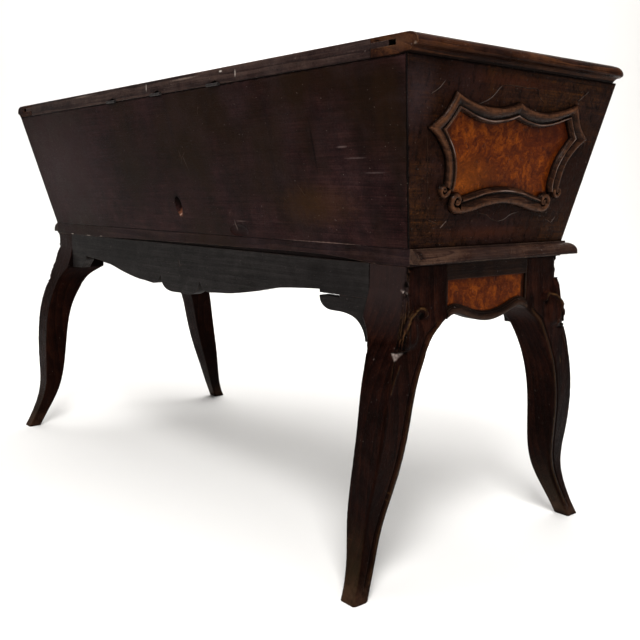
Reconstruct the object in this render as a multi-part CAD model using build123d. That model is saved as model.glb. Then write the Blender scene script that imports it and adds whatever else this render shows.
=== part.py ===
from build123d import *
import math
import os

# A walnut dough box: a flared trough with a flat hinged lid, on a stand with four
# cabriole legs. Millimetres, +Z up, X along the length. The plain back faces +Y
# and the carved front faces -Y. "Left" pieces are at -X and "right" pieces at +X,
# as seen from the front. Everything is drawn from the middle of the trough; the
# finished pieces are moved at the end so that the origin lies on the floor below
# the middle of the feet.

os.makedirs("parts", exist_ok=True)

# ---------------------------------------------------------------- stand sizes
stand_height = 518.0          # floor to the top of the posts and aprons
stand_half_length = 660.0     # middle to the outer end faces of the posts
stand_back = 196.0            # middle to the back faces of the back posts
stand_front = 188.0           # middle to the front faces of the front posts
post_width = 88.0             # square post at the top of each leg
post_height = 88.0            # straight part of the post, above the knee curve

foot_splay_across = 111.0     # foot stands this far outside the post, front to back
foot_splay_along = 6.0        # the same along the length
ankle_reach_across = 74.0     # place of the ankle's outer side from the post's face
ankle_reach_along = -11.0
calf_reach_across = 61.0      # how far the swelling of the leg stands out
calf_reach_along = 11.0
knee_share_across = 0.78      # how much of that swelling is left just below the knee
knee_share_along = 0.95
foot_width_across = 30.0
foot_width_along = 34.0
ankle_width_across = 39.0
ankle_width_along = 45.0
calf_width_across = 59.0
calf_width_along = 60.0
knee_width_across = 72.5
knee_width_along = 66.0
leg_arris_radius = 3.0        # rounding of the four long corners

# The four legs weren't sawn quite alike: below the post each stands a little
# further in along the length than the near back one.
leg_tuck = {"back_left": 0.0, "back_right": -5.0, "front_left": 8.0, "front_right": 20.0}

corner_cut = 5.5              # the knee's outer corner is cut back for its carving
corner_cut_at_post = 2.0      # the same on the straight post above
corner_cut_drop = 6.0         # stand top down to where that cut starts
corner_cut_length = 120.0
knee_leaf_relief = 4.8        # carved knee leaf stands proud of the cut corner
knee_leaf_half_width = 17.0
knee_leaf_length = 87.0
knee_curl_radius = 8.5        # curl at the leaf's side, on the end face
knee_curl_from_corner = 31.0
knee_curl_drop = 74.0         # stand top down to the middle of the curl
knee_curl_relief = 3.0

apron_thickness = 22.0
arch_drop = 53.0              # stand top down to the highest part of a long arch
swag_drop = 91.0              # to the low part beside the middle lobe
lobe_drop = 104.0             # to the bottom of the middle lobe
cusp_drop = 72.0              # to the sharp nicks beside the middle lobe
cusp_from_middle = 81.0
back_pattern_shift = 25.0     # the back pattern was set out off centre
ear_joint_drop = 58.5         # stand top down to where the ears are glued on
ear_length = 124.5            # post face to the tip of an ear
far_ear_length = 83.5         # the same at the far end of the back, where it is short
ear_slot = 4.5                # the glue line of the near ear has opened
ear_slot_length = 52.0
ear_depth = 29.0
ear_chip_length = 27.0        # the far ear has lost its tip and its lower curl

end_arch_drop = 82.0          # the two small arches of an end apron
end_lobe_drop = 100.0
bead_width = 13.0             # moulded bead along the carved lower edges
bead_relief = 2.5
veneer_recess = 5.0           # pockets for the burr panels of the aprons
trough_veneer_drop = 4.0      # burr panels of the trough lie this far below the boards
veneer_thickness = 2.0
veneer_top_drop = 26.0        # stand top down to the burr on the aprons
veneer_gap = 0.2

tenon_length = 45.0
tenon_thickness = 9.0
tenon_height = 34.0
tenon_top_drop = 12.0
joint_clearance = 0.15

# --------------------------------------------------------------- trough sizes
floor_thickness = 27.0        # bottom boards between stand and walls
wall_height = 277.0
base_half_length = 662.0      # outside of the trough at the bottom boards
base_half_depth = 196.0
top_half_length = 715.0       # outside of the trough under the lid
top_half_depth = 262.0
back_arris_radius = 2.0       # worn top arris of the back board
knot_x = -2.0                 # a knot has fallen out of the back board
knot_z = 601.0
knot_width = 26.0
knot_height = 40.0
knot_depth = 9.0
gouge_x = -208.0              # a shallow gouge lower down
gouge_z = 556.0
gouge_width = 60.0
gouge_height = 24.0
gouge_depth = 2.5
long_wall = 22.0              # back and front boards
end_wall = 27.0
lap = 3.0                     # lip of the end board over the ends of the long boards
front_joint_height = 105.0    # lower front plank
moulding_reach = 21.0         # base moulding stands out
moulding_rise = 4.0           # underside of the base moulding above the stand's top
moulding_fillet = 5.0
moulding_step = 3.0
moulding_nose = 5.0           # upright nose at the bottom of the base moulding
floor_hollow_depth = 4.0      # lower back edge of the bottom boards, worn hollow
floor_hollow = ((430.0, 0.0), (150.0, 4.0), (-283.0, 7.5), (-494.0, 6.0), (-575.0, 0.0))
batten_width = 60.0
batten_thickness = 20.0
batten_from_middle = 330.0
batten_end_gap = 6.0
nail_radius = 2.0
nail_head_radius = 4.5
nail_head_thickness = 2.0
nail_length = 62.0
nail_spacing = 260.0          # between the nails of the long walls
end_nail_from_middle = 98.0
batten_nail_length = 40.0
batten_nail_places = (-137.0, -49.0, 49.0, 137.0)
frame_relief = 9.0            # carved frames stand out from the boards
scroll_relief = 8.0
frame_volute_radius = 14.0    # ends of the upper frame
scroll_volute_radius = 16.0   # ends of the lower member

# ------------------------------------------------------------------ lid sizes
lid_thickness = 28.0
lid_end_overhang = 19.0
lid_front_overhang = 16.0
lid_corner_radius = 35.0
lid_edge_width = 16.0         # moulded edge, from the nose in to the step
lid_step = 1.5
lid_nose_height = 14.0        # underside up to the nose
lid_cove_height = 9.0
lid_cove_inset = 17.0
cleat_width = 95.0            # moulded boards across the ends of the lid
tongue_length = 37.0
groove_depth = 52.0
tongue_thickness = 8.0
tongue_height = 13.0          # underside of the lid to the tongue
tongue_front_stop = 30.0
back_plank_width = 172.0
middle_plank_width = 180.0
lid_arris_radius = 1.5        # worn lower back arris of the lid

# --------------------------------------------------------------- hinge sizes
hinge_places = (-225.0, -14.0, 182.0)   # not evenly spaced, as the box was made
hinge_length = 36.0
hinge_notch_rise = 8.0        # wood broken out of the lid above each hinge
hinge_notch_depth = 3.5
hinge_leaf_depth = 17.0
hinge_leaf_thickness = 1.8
hinge_leaf_fit = 0.1
knuckle_radius = 2.8
knuckle_clearance = 0.4       # knuckle to the wood and to the other leaf
knuckle_gap = 0.2             # along the pin
pin_radius = 1.6
pin_fit = 0.05
pin_head = 1.5
screw_radius = 1.4
screw_head_radius = 2.6
screw_length = 13.0
screw_spacing = 18.0

# ------------------------------------------------------------- derived places
knee_z = stand_height - post_height
trough_base_z = stand_height + floor_thickness
trough_top_z = trough_base_z + wall_height
lid_top_z = trough_top_z + lid_thickness
post_inner_x = stand_half_length - post_width
post_inner_back = stand_back - post_width
post_inner_front = stand_front - post_width
end_lean = math.atan2(top_half_length - base_half_length, wall_height)
long_lean = math.atan2(top_half_depth - base_half_depth, wall_height)
lid_half_length = top_half_length + lid_end_overhang
lid_front_y = -(top_half_depth + lid_front_overhang)
far = 2000.0                  # longer than anything here, for cutting tools


def box_between(x0, x1, y0, y1, z0, z1):
    """A plain block given by its limits."""
    block = Box(abs(x1 - x0), abs(y1 - y0), abs(z1 - z0))
    return Pos((x0 + x1) / 2, (y0 + y1) / 2, (z0 + z1) / 2) * block


def rod(start, direction, length, radius):
    """A round bar from a point along a direction."""
    plane = Plane(origin=start, z_dir=direction)
    return extrude(plane * Circle(radius), length)


def closed_face(edges):
    """A flat face inside edges that join end to end."""
    return make_face(Curve() + edges)


def both_ways(part):
    """A right-hand piece and its left-hand mirror image."""
    return {"right": part, "left": mirror(part, about=Plane.YZ)}


# ============================================================ cabriole legs
# A leg is sawn from a square blank with one outline on each of two faces, so it
# is what two long extrusions have in common. Local x and y point outwards from
# the post's outer corner, which stands at 0, 0.

def outer_curve(foot, ankle, calf, knee_share):
    """Outer side of a leg on one face: offsets from the post's face, and heights."""
    shoulder = calf * knee_share
    heights = [0.0, 0.105, 0.244, 0.419, 0.605, 0.79, 0.884, 1.0, 1.116]
    outer = [
        foot,
        ankle + (foot - ankle) * 0.45,
        ankle,
        (ankle + calf) / 2,
        calf,
        shoulder,
        shoulder * 0.72,
        shoulder * 0.32,
        0.0,
    ]
    return [(o, h * knee_z) for o, h in zip(outer, heights)]


def curve_along(tuck):
    """Outer curve seen from the front or back."""
    return outer_curve(
        foot_splay_along - tuck, ankle_reach_along - tuck, calf_reach_along - tuck,
        knee_share_along)


def curve_across():
    """Outer curve seen from an end."""
    return outer_curve(
        foot_splay_across, ankle_reach_across, calf_reach_across, knee_share_across)


def leg_outline(outside, widths):
    """Outline of one face of a leg, from its outer curve and its widths."""
    foot_width, ankle_width, calf_width, knee_width = widths
    widths_here = [
        foot_width,
        foot_width * 0.85 + ankle_width * 0.15,
        ankle_width,
        ankle_width * 0.35 + calf_width * 0.65,
        calf_width,
        (calf_width + knee_width) / 2,
        knee_width,
    ]
    inside = [(o - w, z) for (o, z), w in zip(outside, widths_here)]
    knee = inside[-1][0]
    for height, share in ((0.935, 0.26), (0.968, 0.58), (1.0, 1.0)):
        inside.append((knee + (-post_width - knee) * share, height * knee_z))
    return closed_face([
        Spline(*outside),
        Line(outside[-1], (0.0, stand_height)),
        Line((0.0, stand_height), (-post_width, stand_height)),
        Line((-post_width, stand_height), inside[-1]),
        Spline(*reversed(inside)),
        Line(inside[0], outside[0]),
    ])


def leg_blank(tuck):
    """The sawn leg, before its corners are eased; tuck moves its curve inwards."""
    along = leg_outline(
        curve_along(tuck), [foot_width_along, ankle_width_along, calf_width_along, knee_width_along])
    across = leg_outline(
        curve_across(),
        [foot_width_across, ankle_width_across, calf_width_across, knee_width_across])
    seen_from_back = Pos(0, far / 4, 0) * extrude(Plane.XZ * along, far / 2)
    seen_from_end = Pos(-far / 4, 0, 0) * extrude(Plane.YZ * across, far / 2)
    return seen_from_back & seen_from_end


def corner_plane(distance):
    """Upright plane square to the diagonal that runs out through the corner."""
    return Plane(origin=(distance, distance, 0), x_dir=(-1, 1, 0), z_dir=(1, 1, 0))


def corner_waste(tuck):
    """What is cut off the knee's outer corner: all beyond a line inside the corner."""
    low = stand_height - corner_cut_drop - corner_cut_length
    high = stand_height - corner_cut_drop
    line = []
    for (a, z), (b, _) in zip(curve_along(tuck)[5:], curve_across()[5:]):
        cut = corner_cut if z <= knee_z else corner_cut_at_post
        line.append(((a + b) / math.sqrt(2) - cut, z))
    top = (line[-1][0], stand_height)
    start = line[0]
    profile = closed_face([
        Spline(*line),
        Line(line[-1], top),
        Line(top, (far / 4, stand_height)),
        Line((far / 4, stand_height), (far / 4, start[1])),
        Line((far / 4, start[1]), start),
    ])
    diagonal = Plane(origin=(far / 4, -far / 4, 0), x_dir=(1, 1, 0), z_dir=(1, -1, 0))
    beyond = extrude(diagonal * profile, -far / math.sqrt(2))
    return beyond & box_between(-far, far, -far, far, low, high)


def knee_leaf(cut_leg, wraps_both_faces):
    """Raised leaf on the knee: the cut leg's own surface moved out, cut to a leaf."""
    step = (knee_leaf_relief, knee_leaf_relief if wraps_both_faces else 0.0, 0.0)
    tip = stand_height - corner_cut_drop - corner_cut_length + 1.0
    top = tip + knee_leaf_length
    side = [
        (knee_leaf_half_width * 0.80, tip + knee_leaf_length * 0.06),
        (knee_leaf_half_width, tip + knee_leaf_length * 0.25),
        (knee_leaf_half_width * 0.62, tip + knee_leaf_length * 0.62),
        (knee_leaf_half_width * 0.30, tip + knee_leaf_length * 0.86),
    ]
    other = [(-x, z) for x, z in reversed(side)]
    outline = closed_face([
        Spline((0, tip), *side, (0, top)),
        Spline((0, top), *other, (0, tip)),
    ])
    cutter = extrude(corner_plane(-far / 8) * outline, far / 2)
    return (Pos(*step) * cut_leg) & cutter


def knee_curl(blank):
    """Small curl beside the leaf, raised from the leg's end face."""
    middle = (-post_width / 2, -knee_curl_from_corner, stand_height - knee_curl_drop)
    curl = Pos(*middle) * extrude(Plane.YZ * Circle(knee_curl_radius), far / 4)
    return (Pos(knee_curl_relief, 0, 0) * blank) & curl


def mortise(along_x, y_or_x, clearance):
    """Tenon block in a corner's local frame, grown by a clearance for its mortise."""
    half = tenon_thickness / 2 + clearance
    top = stand_height - tenon_top_drop + clearance
    bottom = top - tenon_height - 2 * clearance
    reach = post_width - tenon_length - clearance
    if along_x:
        return box_between(-post_width, -reach, y_or_x - half, y_or_x + half, bottom, top)
    return box_between(y_or_x - half, y_or_x + half, -post_width, -reach, bottom, top)


tenon_inset = apron_thickness / 2


def leg(name):
    """One finished leg in its local frame: eased corners, carving and mortises."""
    tuck = leg_tuck[name]
    blank = leg_blank(tuck)
    long_corners = [e for e in blank.edges() if e.bounding_box().size.Z > knee_z * 0.6]
    waste = corner_waste(tuck)
    body = fillet(long_corners, leg_arris_radius) - waste
    body += knee_leaf(blank - waste, name.startswith("front"))
    body += knee_curl(blank)
    body -= mortise(True, -tenon_inset, joint_clearance)
    body -= mortise(False, -tenon_inset, joint_clearance)
    return body


def at_back_right(part):
    return Pos(stand_half_length, stand_back, 0) * part


def at_front_right(part):
    return Pos(stand_half_length, -stand_front, 0) * mirror(part, about=Plane.XZ)


back_legs = {
    "right": at_back_right(leg("back_right")),
    "left": mirror(at_back_right(leg("back_left")), about=Plane.YZ),
}
front_legs = {
    "right": at_front_right(leg("front_right")),
    "left": mirror(at_front_right(leg("front_left")), about=Plane.YZ),
}


# ================================================================== aprons
# The lower edge of an apron is a serpentine line, given as drops below the
# stand's top. The long aprons keep one pattern; the back one is set off centre.

def long_edge_half(side, shift, ear):
    """Lower edge of a long apron from the middle lobe out to the tip of one ear."""
    arch_end = post_inner_x - ear
    span = arch_end - side * shift - cusp_from_middle
    fall = swag_drop - arch_drop

    def point(distance, drop):
        return (side * distance + shift, stand_height - drop)

    def swag(share, rise):
        return point(cusp_from_middle + span * share, swag_drop - fall * rise)

    lobe = Spline(
        point(0, lobe_drop),
        point(cusp_from_middle * 0.60, lobe_drop - 1.0),
        point(cusp_from_middle * 0.85, lobe_drop - 9.0),
        point(cusp_from_middle, cusp_drop))
    rise = Spline(
        point(cusp_from_middle, cusp_drop),
        swag(0.05, 0.02),
        swag(0.15, 0.0),
        swag(0.25, 0.06),
        swag(0.38, 0.21),
        swag(0.50, 0.41),
        swag(0.625, 0.66),
        swag(0.78, 0.85),
        swag(1.0, 1.0))
    return [lobe, rise]


def long_edge(shift, left_ear, right_ear, lift):
    """The whole lower edge, moved up by lift, between the tips of the ears."""
    edges = long_edge_half(-1, shift, left_ear) + long_edge_half(1, shift, right_ear)
    return [Pos(0, lift) * e for e in edges]


def long_apron_face(shift, left_ear, right_ear):
    """Front view of a long apron between its shoulders."""
    arch_z = stand_height - arch_drop
    step_z = stand_height - ear_joint_drop
    sides = []
    for side, ear in ((-1, left_ear), (1, right_ear)):
        tip = side * (post_inner_x - ear)
        end = side * post_inner_x
        sides += [
            Line((tip, arch_z), (tip, step_z)),
            Line((tip, step_z), (end, step_z)),
            Line((end, step_z), (end, stand_height)),
        ]
    top = Line((-post_inner_x, stand_height), (post_inner_x, stand_height))
    return closed_face(long_edge(shift, left_ear, right_ear, 0) + sides + [top])


def tenons_x(y_middle):
    """Tenons at both ends of a long apron."""
    top = stand_height - tenon_top_drop
    tongues = []
    for side in (-1, 1):
        tongues.append(box_between(
            side * post_inner_x, side * (post_inner_x + tenon_length),
            y_middle - tenon_thickness / 2, y_middle + tenon_thickness / 2,
            top - tenon_height, top))
    return tongues


def extruded_y(face, y0, y1):
    """A face drawn in X and Z, given thickness between two Y planes."""
    return Pos(0, y1, 0) * extrude(Plane.XZ * face, y1 - y0)


def extruded_x(face, x0, x1):
    """A face drawn in Y and Z, given thickness between two X planes."""
    return Pos(x0, 0, 0) * extrude(Plane.YZ * face, x1 - x0)


apron_back = extruded_y(
    long_apron_face(back_pattern_shift, ear_length, far_ear_length),
    stand_back - apron_thickness, stand_back)
for tenon in tenons_x(stand_back - tenon_inset):
    apron_back += tenon


# The front apron has a bead along its lower edge and two burr panels above it.

def front_bead_face():
    """Band between the lower edge and the same line moved up."""
    arch_end = post_inner_x - ear_length
    low = stand_height - arch_drop
    sides = [
        Line((side * arch_end, low), (side * arch_end, low + bead_width))
        for side in (-1, 1)
    ]
    low_edge = long_edge(0, ear_length, ear_length, 0)
    high_edge = long_edge(0, ear_length, ear_length, bead_width)
    return closed_face(low_edge + high_edge + sides)


front_panel_inner = cusp_from_middle + 34.0
front_panel_outer = post_inner_x - ear_length - 6.0


def front_panel_face(side, clearance):
    """Burr panel beside the middle lobe, following the serpentine edge."""
    x0 = front_panel_inner + clearance
    x1 = front_panel_outer - clearance
    top = stand_height - veneer_top_drop - clearance
    span = x1 - x0
    rise = swag_drop - arch_drop
    low = stand_height - swag_drop + bead_width + 3.0 + clearance
    curve = Spline(
        (x0, low),
        (x0 + span * 0.30, low + rise * 0.16),
        (x0 + span * 0.60, low + rise * 0.52),
        (x1, low + rise * 0.94))
    face = closed_face([
        curve,
        Line((x1, low + rise * 0.94), (x1, top)),
        Line((x1, top), (x0, top)),
        Line((x0, top), (x0, low)),
    ])
    return face if side > 0 else mirror(face, about=Plane.YZ)


apron_front = extruded_y(
    long_apron_face(0, ear_length, ear_length), -stand_front, -stand_front + apron_thickness)
apron_front += extruded_y(front_bead_face(), -stand_front - bead_relief, -stand_front)
front_burr = []
for side in (-1, 1):
    recess = extruded_y(
        front_panel_face(side, 0), -stand_front - 1, -stand_front + veneer_recess)
    apron_front -= recess
    front_burr.append(extruded_y(
        front_panel_face(side, veneer_gap),
        -stand_front + veneer_recess - veneer_thickness, -stand_front + veneer_recess))
for tenon in tenons_x(-stand_front + tenon_inset):
    apron_front += tenon

# End aprons: two small arches and a middle drop, a bead and one burr panel.
end_middle = (post_inner_back - post_inner_front) / 2
end_half = (post_inner_back + post_inner_front) / 2


def end_edge(lift):
    """Lower edge of an end apron, from the back post to the front post."""
    shoulder = post_height + 1.0
    points = [
        (-1.0, shoulder),
        (-0.78, end_arch_drop),
        (-0.52, (end_arch_drop * 0.6 + end_lobe_drop * 0.4)),
        (0.0, end_lobe_drop),
        (0.52, (end_arch_drop * 0.6 + end_lobe_drop * 0.4)),
        (0.78, end_arch_drop),
        (1.0, shoulder),
    ]
    placed = [(end_middle + end_half * y, stand_height - d + lift) for y, d in points]
    return Spline(*placed)


def end_face_between(low_lift, y_inset, top_z):
    """Face above the serpentine edge, up to a level line."""
    curve = end_edge(low_lift)
    block = Pos(end_middle, top_z - far / 2) * Rectangle(2 * (end_half - y_inset), far)
    low = curve @ 0
    high = curve @ 1
    above = closed_face([
        curve,
        Line(high, (high.X, top_z)),
        Line((high.X, top_z), (low.X, top_z)),
        Line((low.X, top_z), low),
    ])
    return above & block


end_board_x = stand_half_length - apron_thickness
apron_end = extruded_x(end_face_between(0, 0, stand_height), end_board_x, stand_half_length)
bead = extruded_x(
    end_face_between(0, 0, stand_height) - end_face_between(bead_width, 0, stand_height),
    stand_half_length, stand_half_length + bead_relief)
apron_end += bead
veneer_top = stand_height - veneer_top_drop
apron_end -= extruded_x(
    end_face_between(bead_width + 3.0, 3.0, veneer_top),
    stand_half_length - veneer_recess, stand_half_length + 1)
for y0, y1 in ((post_inner_back, post_inner_back + tenon_length),
               (-post_inner_front - tenon_length, -post_inner_front)):
    apron_end += box_between(
        stand_half_length - tenon_inset - tenon_thickness / 2,
        stand_half_length - tenon_inset + tenon_thickness / 2,
        y0, y1,
        stand_height - tenon_top_drop - tenon_height, stand_height - tenon_top_drop)
end_burr = extruded_x(
    end_face_between(bead_width + 3.0 + veneer_gap, 3.0 + veneer_gap, veneer_top - veneer_gap),
    stand_half_length - veneer_recess,
    stand_half_length - veneer_recess + veneer_thickness)
end_aprons = both_ways(apron_end)
end_burrs = both_ways(end_burr)


# Ears: small shaped blocks glued in the corners between long apron and leg.

def whole_ear_face(slot):
    """Ear seen from the front, on the right; slot is the opened glue line."""
    tip = post_inner_x - ear_length
    joint = stand_height - ear_joint_drop
    low = joint - ear_depth
    top = joint - slot
    edges = [
        Spline(
            (tip, top),
            (tip + 3.0, low + 13.0),
            (tip + 13.0, low + 5.0),
            (tip + 50.0, low + 1.0),
            (tip + 74.0, low - 1.0),
            (tip + 95.0, low - 8.0),
            (tip + 111.0, low - 24.0),
            (tip + 117.0, low - 42.0)),
        Line((tip + 117.0, low - 42.0), (post_inner_x + 40.0, low - 42.0)),
        Line((post_inner_x + 40.0, low - 42.0), (post_inner_x + 40.0, joint)),
    ]
    if slot > 0:
        edges += [
            Line((tip, top), (tip + ear_slot_length, top)),
            Line((tip + ear_slot_length, top), (tip + ear_slot_length, joint)),
            Line((tip + ear_slot_length, joint), (post_inner_x + 40.0, joint)),
        ]
    else:
        edges += [Line((tip, joint), (post_inner_x + 40.0, joint))]
    return closed_face(edges)


def chipped_ear_face():
    """What is left of the far ear: its end broken off askew, its curl gone."""
    joint = stand_height - ear_joint_drop
    low = joint - ear_depth
    tip = post_inner_x - far_ear_length
    inside_leg = post_inner_x + 20.0
    return closed_face([
        Line((tip, joint), (tip + 2.0, joint - 4.0)),
        Line((tip + 2.0, joint - 4.0), (tip + ear_chip_length * 0.55, joint - 14.0)),
        Line((tip + ear_chip_length * 0.55, joint - 14.0), (tip + ear_chip_length, low + 3.5)),
        Line((tip + ear_chip_length, low + 3.5), (inside_leg, low)),
        Line((inside_leg, low), (inside_leg, joint)),
        Line((inside_leg, joint), (tip, joint)),
    ])


def fitted_ear(face, y0, y1, leg_here):
    """An ear cut to lie against its post, and the waste beyond the leg dropped."""
    ear = extruded_y(face, y0, y1) - leg_here
    return ear.solids().sort_by(Axis.X)[0]


back_y = (stand_back - apron_thickness, stand_back)
front_y = (-stand_front, -stand_front + apron_thickness)
ear_back_left = mirror(
    fitted_ear(whole_ear_face(ear_slot), *back_y, mirror(back_legs["left"], about=Plane.YZ)),
    about=Plane.YZ)
ear_back_right = fitted_ear(chipped_ear_face(), *back_y, back_legs["right"])
front_ears = {
    "right": fitted_ear(whole_ear_face(0), *front_y, front_legs["right"]),
    "left": mirror(
        fitted_ear(whole_ear_face(0), *front_y, mirror(front_legs["left"], about=Plane.YZ)),
        about=Plane.YZ),
}


# ================================================================== trough
# The walls lean outwards. Each board is straight-sided between two level cuts,
# so it is drawn at its lower and upper edge and joined by flat faces.

def half_length(z):
    return base_half_length + (z - trough_base_z) * math.tan(end_lean)


def half_depth(z):
    return base_half_depth + (z - trough_base_z) * math.tan(long_lean)


long_wall_level = long_wall / math.cos(long_lean)
end_wall_level = end_wall / math.cos(end_lean)


def leaning_board(corners, low, high):
    """Board between two heights; corners(z) gives its outline at a height."""
    faces = []
    for z in (low, high):
        outline = Polyline(*corners(z), close=True)
        faces.append(Pos(0, 0, z) * make_face(outline))
    return loft(faces, ruled=True)


def rectangle_corners(x0, x1, y0, y1):
    return [(x0, y0), (x1, y0), (x1, y1), (x0, y1)]


def back_corners(z):
    x = half_length(z) - lap
    y = half_depth(z)
    return rectangle_corners(-x, x, y - long_wall_level, y)


def front_corners(z):
    x = half_length(z) - lap
    y = half_depth(z)
    return rectangle_corners(-x, x, -y, -y + long_wall_level)


def end_lip_corners(z):
    x = half_length(z)
    y = half_depth(z)
    return rectangle_corners(x - lap, x, -y, y)


def end_core_corners(z):
    x = half_length(z)
    y = half_depth(z) - long_wall_level
    return rectangle_corners(x - end_wall_level, x - lap, -y, y)


def hollow_in_back(x, z, width, height, depth):
    """A rounded hollow cut into the outer face of the back board."""
    bowl = scale(Sphere(1), by=(width / 2, depth, height / 2))
    return Pos(x, half_depth(z), z) * Rot(-math.degrees(long_lean), 0, 0) * bowl


front_joint_z = trough_base_z + front_joint_height
back_board = leaning_board(back_corners, trough_base_z, trough_top_z)
back_top_edges = back_board.edges().filter_by(Axis.X).group_by(Axis.Z)[-1]
back_board = fillet(back_top_edges.sort_by(Axis.Y)[-1], back_arris_radius)
back_board -= hollow_in_back(knot_x, knot_z, knot_width, knot_height, knot_depth)
back_board -= hollow_in_back(gouge_x, gouge_z, gouge_width, gouge_height, gouge_depth)
front_plank_lower = leaning_board(front_corners, trough_base_z, front_joint_z)
front_plank_upper = leaning_board(front_corners, front_joint_z, trough_top_z)
end_board = leaning_board(end_lip_corners, trough_base_z, trough_top_z)
end_board += leaning_board(end_core_corners, trough_base_z, trough_top_z)

# Carved frames and burr panels. They are drawn on the sloping face: u level
# along the board, and a height above the floor that is laid along the slope.
end_plane = Plane(
    origin=(base_half_length, 0, trough_base_z), x_dir=(0, 1, 0),
    z_dir=(math.cos(end_lean), 0, -math.sin(end_lean)))


def on_slope(points, lean):
    """Points given by level distance and height above the ground, laid on a board."""
    return [(u, (z - trough_base_z) / math.cos(lean)) for u, z in points]


def mirrored_face(half_edges):
    """A face from the edges of its right half, which start and end on u = 0."""
    return closed_face(half_edges + [mirror(e, about=Plane.YZ) for e in half_edges])


frame_centre = trough_base_z + 159.0
frame_half_width = 202.0      # middle to the tips of the horns


def heights(points):
    """Points of the carving as level distance and height above its centre."""
    return [(u, frame_centre + h) for u, h in points]


def frame_face(lean):
    """Upper frame: cusped top, horns, sides curling into volutes."""
    volute = (143, -72)
    edges = [
        Spline(*on_slope(heights([(0, 69), (28, 62), (72, 60), (118, 65), (153, 75)]), lean)),
        Spline(*on_slope(heights([(153, 75), (172, 46), (frame_half_width, 23)]), lean)),
        Spline(*on_slope(heights([
            (frame_half_width, 23), (177, 10), (162, -12), (156, -40), (157, -66)]), lean)),
        ThreePointArc(*on_slope(heights([(157, -66), (144, -87), (129, -66)]), lean)),
        Spline(*on_slope(heights([(129, -66), (130, -34), (139, -6), (163, 18)]), lean)),
        Line(*on_slope(heights([(163, 18), (142, 42)]), lean)),
        Spline(*on_slope(heights([(142, 42), (105, 36), (66, 33), (26, 38), (0, 47)]), lean)),
    ]
    scroll = Pos(*on_slope(heights([volute]), lean)[0]) * Circle(frame_volute_radius)
    other = mirror(scroll, about=Plane.YZ)
    return mirrored_face(edges) + scroll + other


def scroll_face(lean):
    """Lower member: a low arch between two volutes."""
    edges = [
        Spline(*on_slope(heights([(0, -64), (45, -68), (98, -84)]), lean)),
        Line(*on_slope(heights([(98, -84), (106, -107)]), lean)),
        Spline(*on_slope(heights([(106, -107), (80, -99), (45, -93), (0, -91)]), lean)),
    ]
    roll = Pos(*on_slope(heights([(109, -90)]), lean)[0]) * Circle(scroll_volute_radius)
    other = mirror(roll, about=Plane.YZ)
    return mirrored_face(edges) + roll + other


def panel_face(lean, clearance):
    """Burr panel under the frame, a little smaller than its pocket."""
    half = [(0, 58), (66, 46), (147, 58), (180, 22), (145, -8), (138, -64), (120, -82),
            (60, -84), (0, -78)]
    points = on_slope(heights(half), lean)
    left = [(-u, v) for u, v in reversed(points[1:-1])]
    outline = make_face(Polyline(*points, *left, close=True))
    return offset(outline, -clearance) if clearance > 0 else outline


veneer_seat = trough_veneer_drop + veneer_thickness


def panel_pocket(plane, lean):
    return extrude(plane * panel_face(lean, 0), -veneer_seat)


def burr_panel(plane, lean):
    seat = plane.offset(-veneer_seat)
    return extrude(seat * panel_face(lean, veneer_gap), veneer_thickness)


end_board -= panel_pocket(end_plane, end_lean)
end_frame = extrude(end_plane * frame_face(end_lean), frame_relief)
end_scroll = extrude(end_plane * scroll_face(end_lean), scroll_relief)
end_panel = burr_panel(end_plane, end_lean)

# The front carries the same carving twice, one cartouche each side of the middle.
front_cartouche_x = 330.0
front_frames, front_scrolls, front_panels = {}, {}, {}
for name, x in (("left", -front_cartouche_x), ("right", front_cartouche_x)):
    plane = Plane(
        origin=(x, -base_half_depth, trough_base_z), x_dir=(1, 0, 0),
        z_dir=(0, -math.cos(long_lean), -math.sin(long_lean)))
    front_frames[name] = extrude(plane * frame_face(long_lean), frame_relief)
    front_scrolls[name] = extrude(plane * scroll_face(long_lean), scroll_relief)
    front_panels[name] = burr_panel(plane, long_lean)
    pocket = panel_pocket(plane, long_lean)
    front_plank_lower -= pocket
    front_plank_upper -= pocket

# Bottom boards, with nails driven up through them into the walls.
floor_back = box_between(
    -base_half_length, base_half_length, 0, base_half_depth, stand_height, trough_base_z)
hollow_line = [(x, stand_height + rise) for x, rise in floor_hollow]
floor_back -= extruded_y(
    closed_face([Spline(*hollow_line), Line(hollow_line[-1], hollow_line[0])]),
    base_half_depth - floor_hollow_depth, base_half_depth + 1)
floor_front = box_between(
    -base_half_length, base_half_length, -base_half_depth, 0, stand_height, trough_base_z)
batten_back = stand_back - apron_thickness - batten_end_gap
batten_front = stand_front - apron_thickness - batten_end_gap
battens = both_ways(box_between(
    batten_from_middle - batten_width / 2, batten_from_middle + batten_width / 2,
    -batten_front, batten_back, stand_height - batten_thickness, stand_height))


def nail(x, y):
    """A forged nail from the underside of the bottom boards up into a wall."""
    shank = rod((x, y, stand_height), (0, 0, 1), nail_length, nail_radius)
    return shank + rod((x, y, stand_height), (0, 0, 1), nail_head_thickness, nail_head_radius)


def batten_nail(x, y):
    """A short nail up through a batten into the bottom boards."""
    z = stand_height - batten_thickness
    shank = rod((x, y, z), (0, 0, 1), batten_nail_length, nail_radius)
    return shank + rod((x, y, z), (0, 0, 1), nail_head_thickness, nail_head_radius)


nail_line_y = base_half_depth - long_wall * 0.4
nail_line_x = base_half_length - end_wall * 0.55
nails = []
for count in range(-2, 3):
    for y in (-nail_line_y, nail_line_y):
        nails.append(nail(count * nail_spacing, y))
for x in (-nail_line_x, nail_line_x):
    for y in (-end_nail_from_middle, end_nail_from_middle):
        nails.append(nail(x, y))

batten_nails = []
for x in (-batten_from_middle, batten_from_middle):
    for y in batten_nail_places:
        batten_nails.append(batten_nail(x, y))


def less_nails(part):
    for one in nails + batten_nails:
        part -= one
    return part


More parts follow.
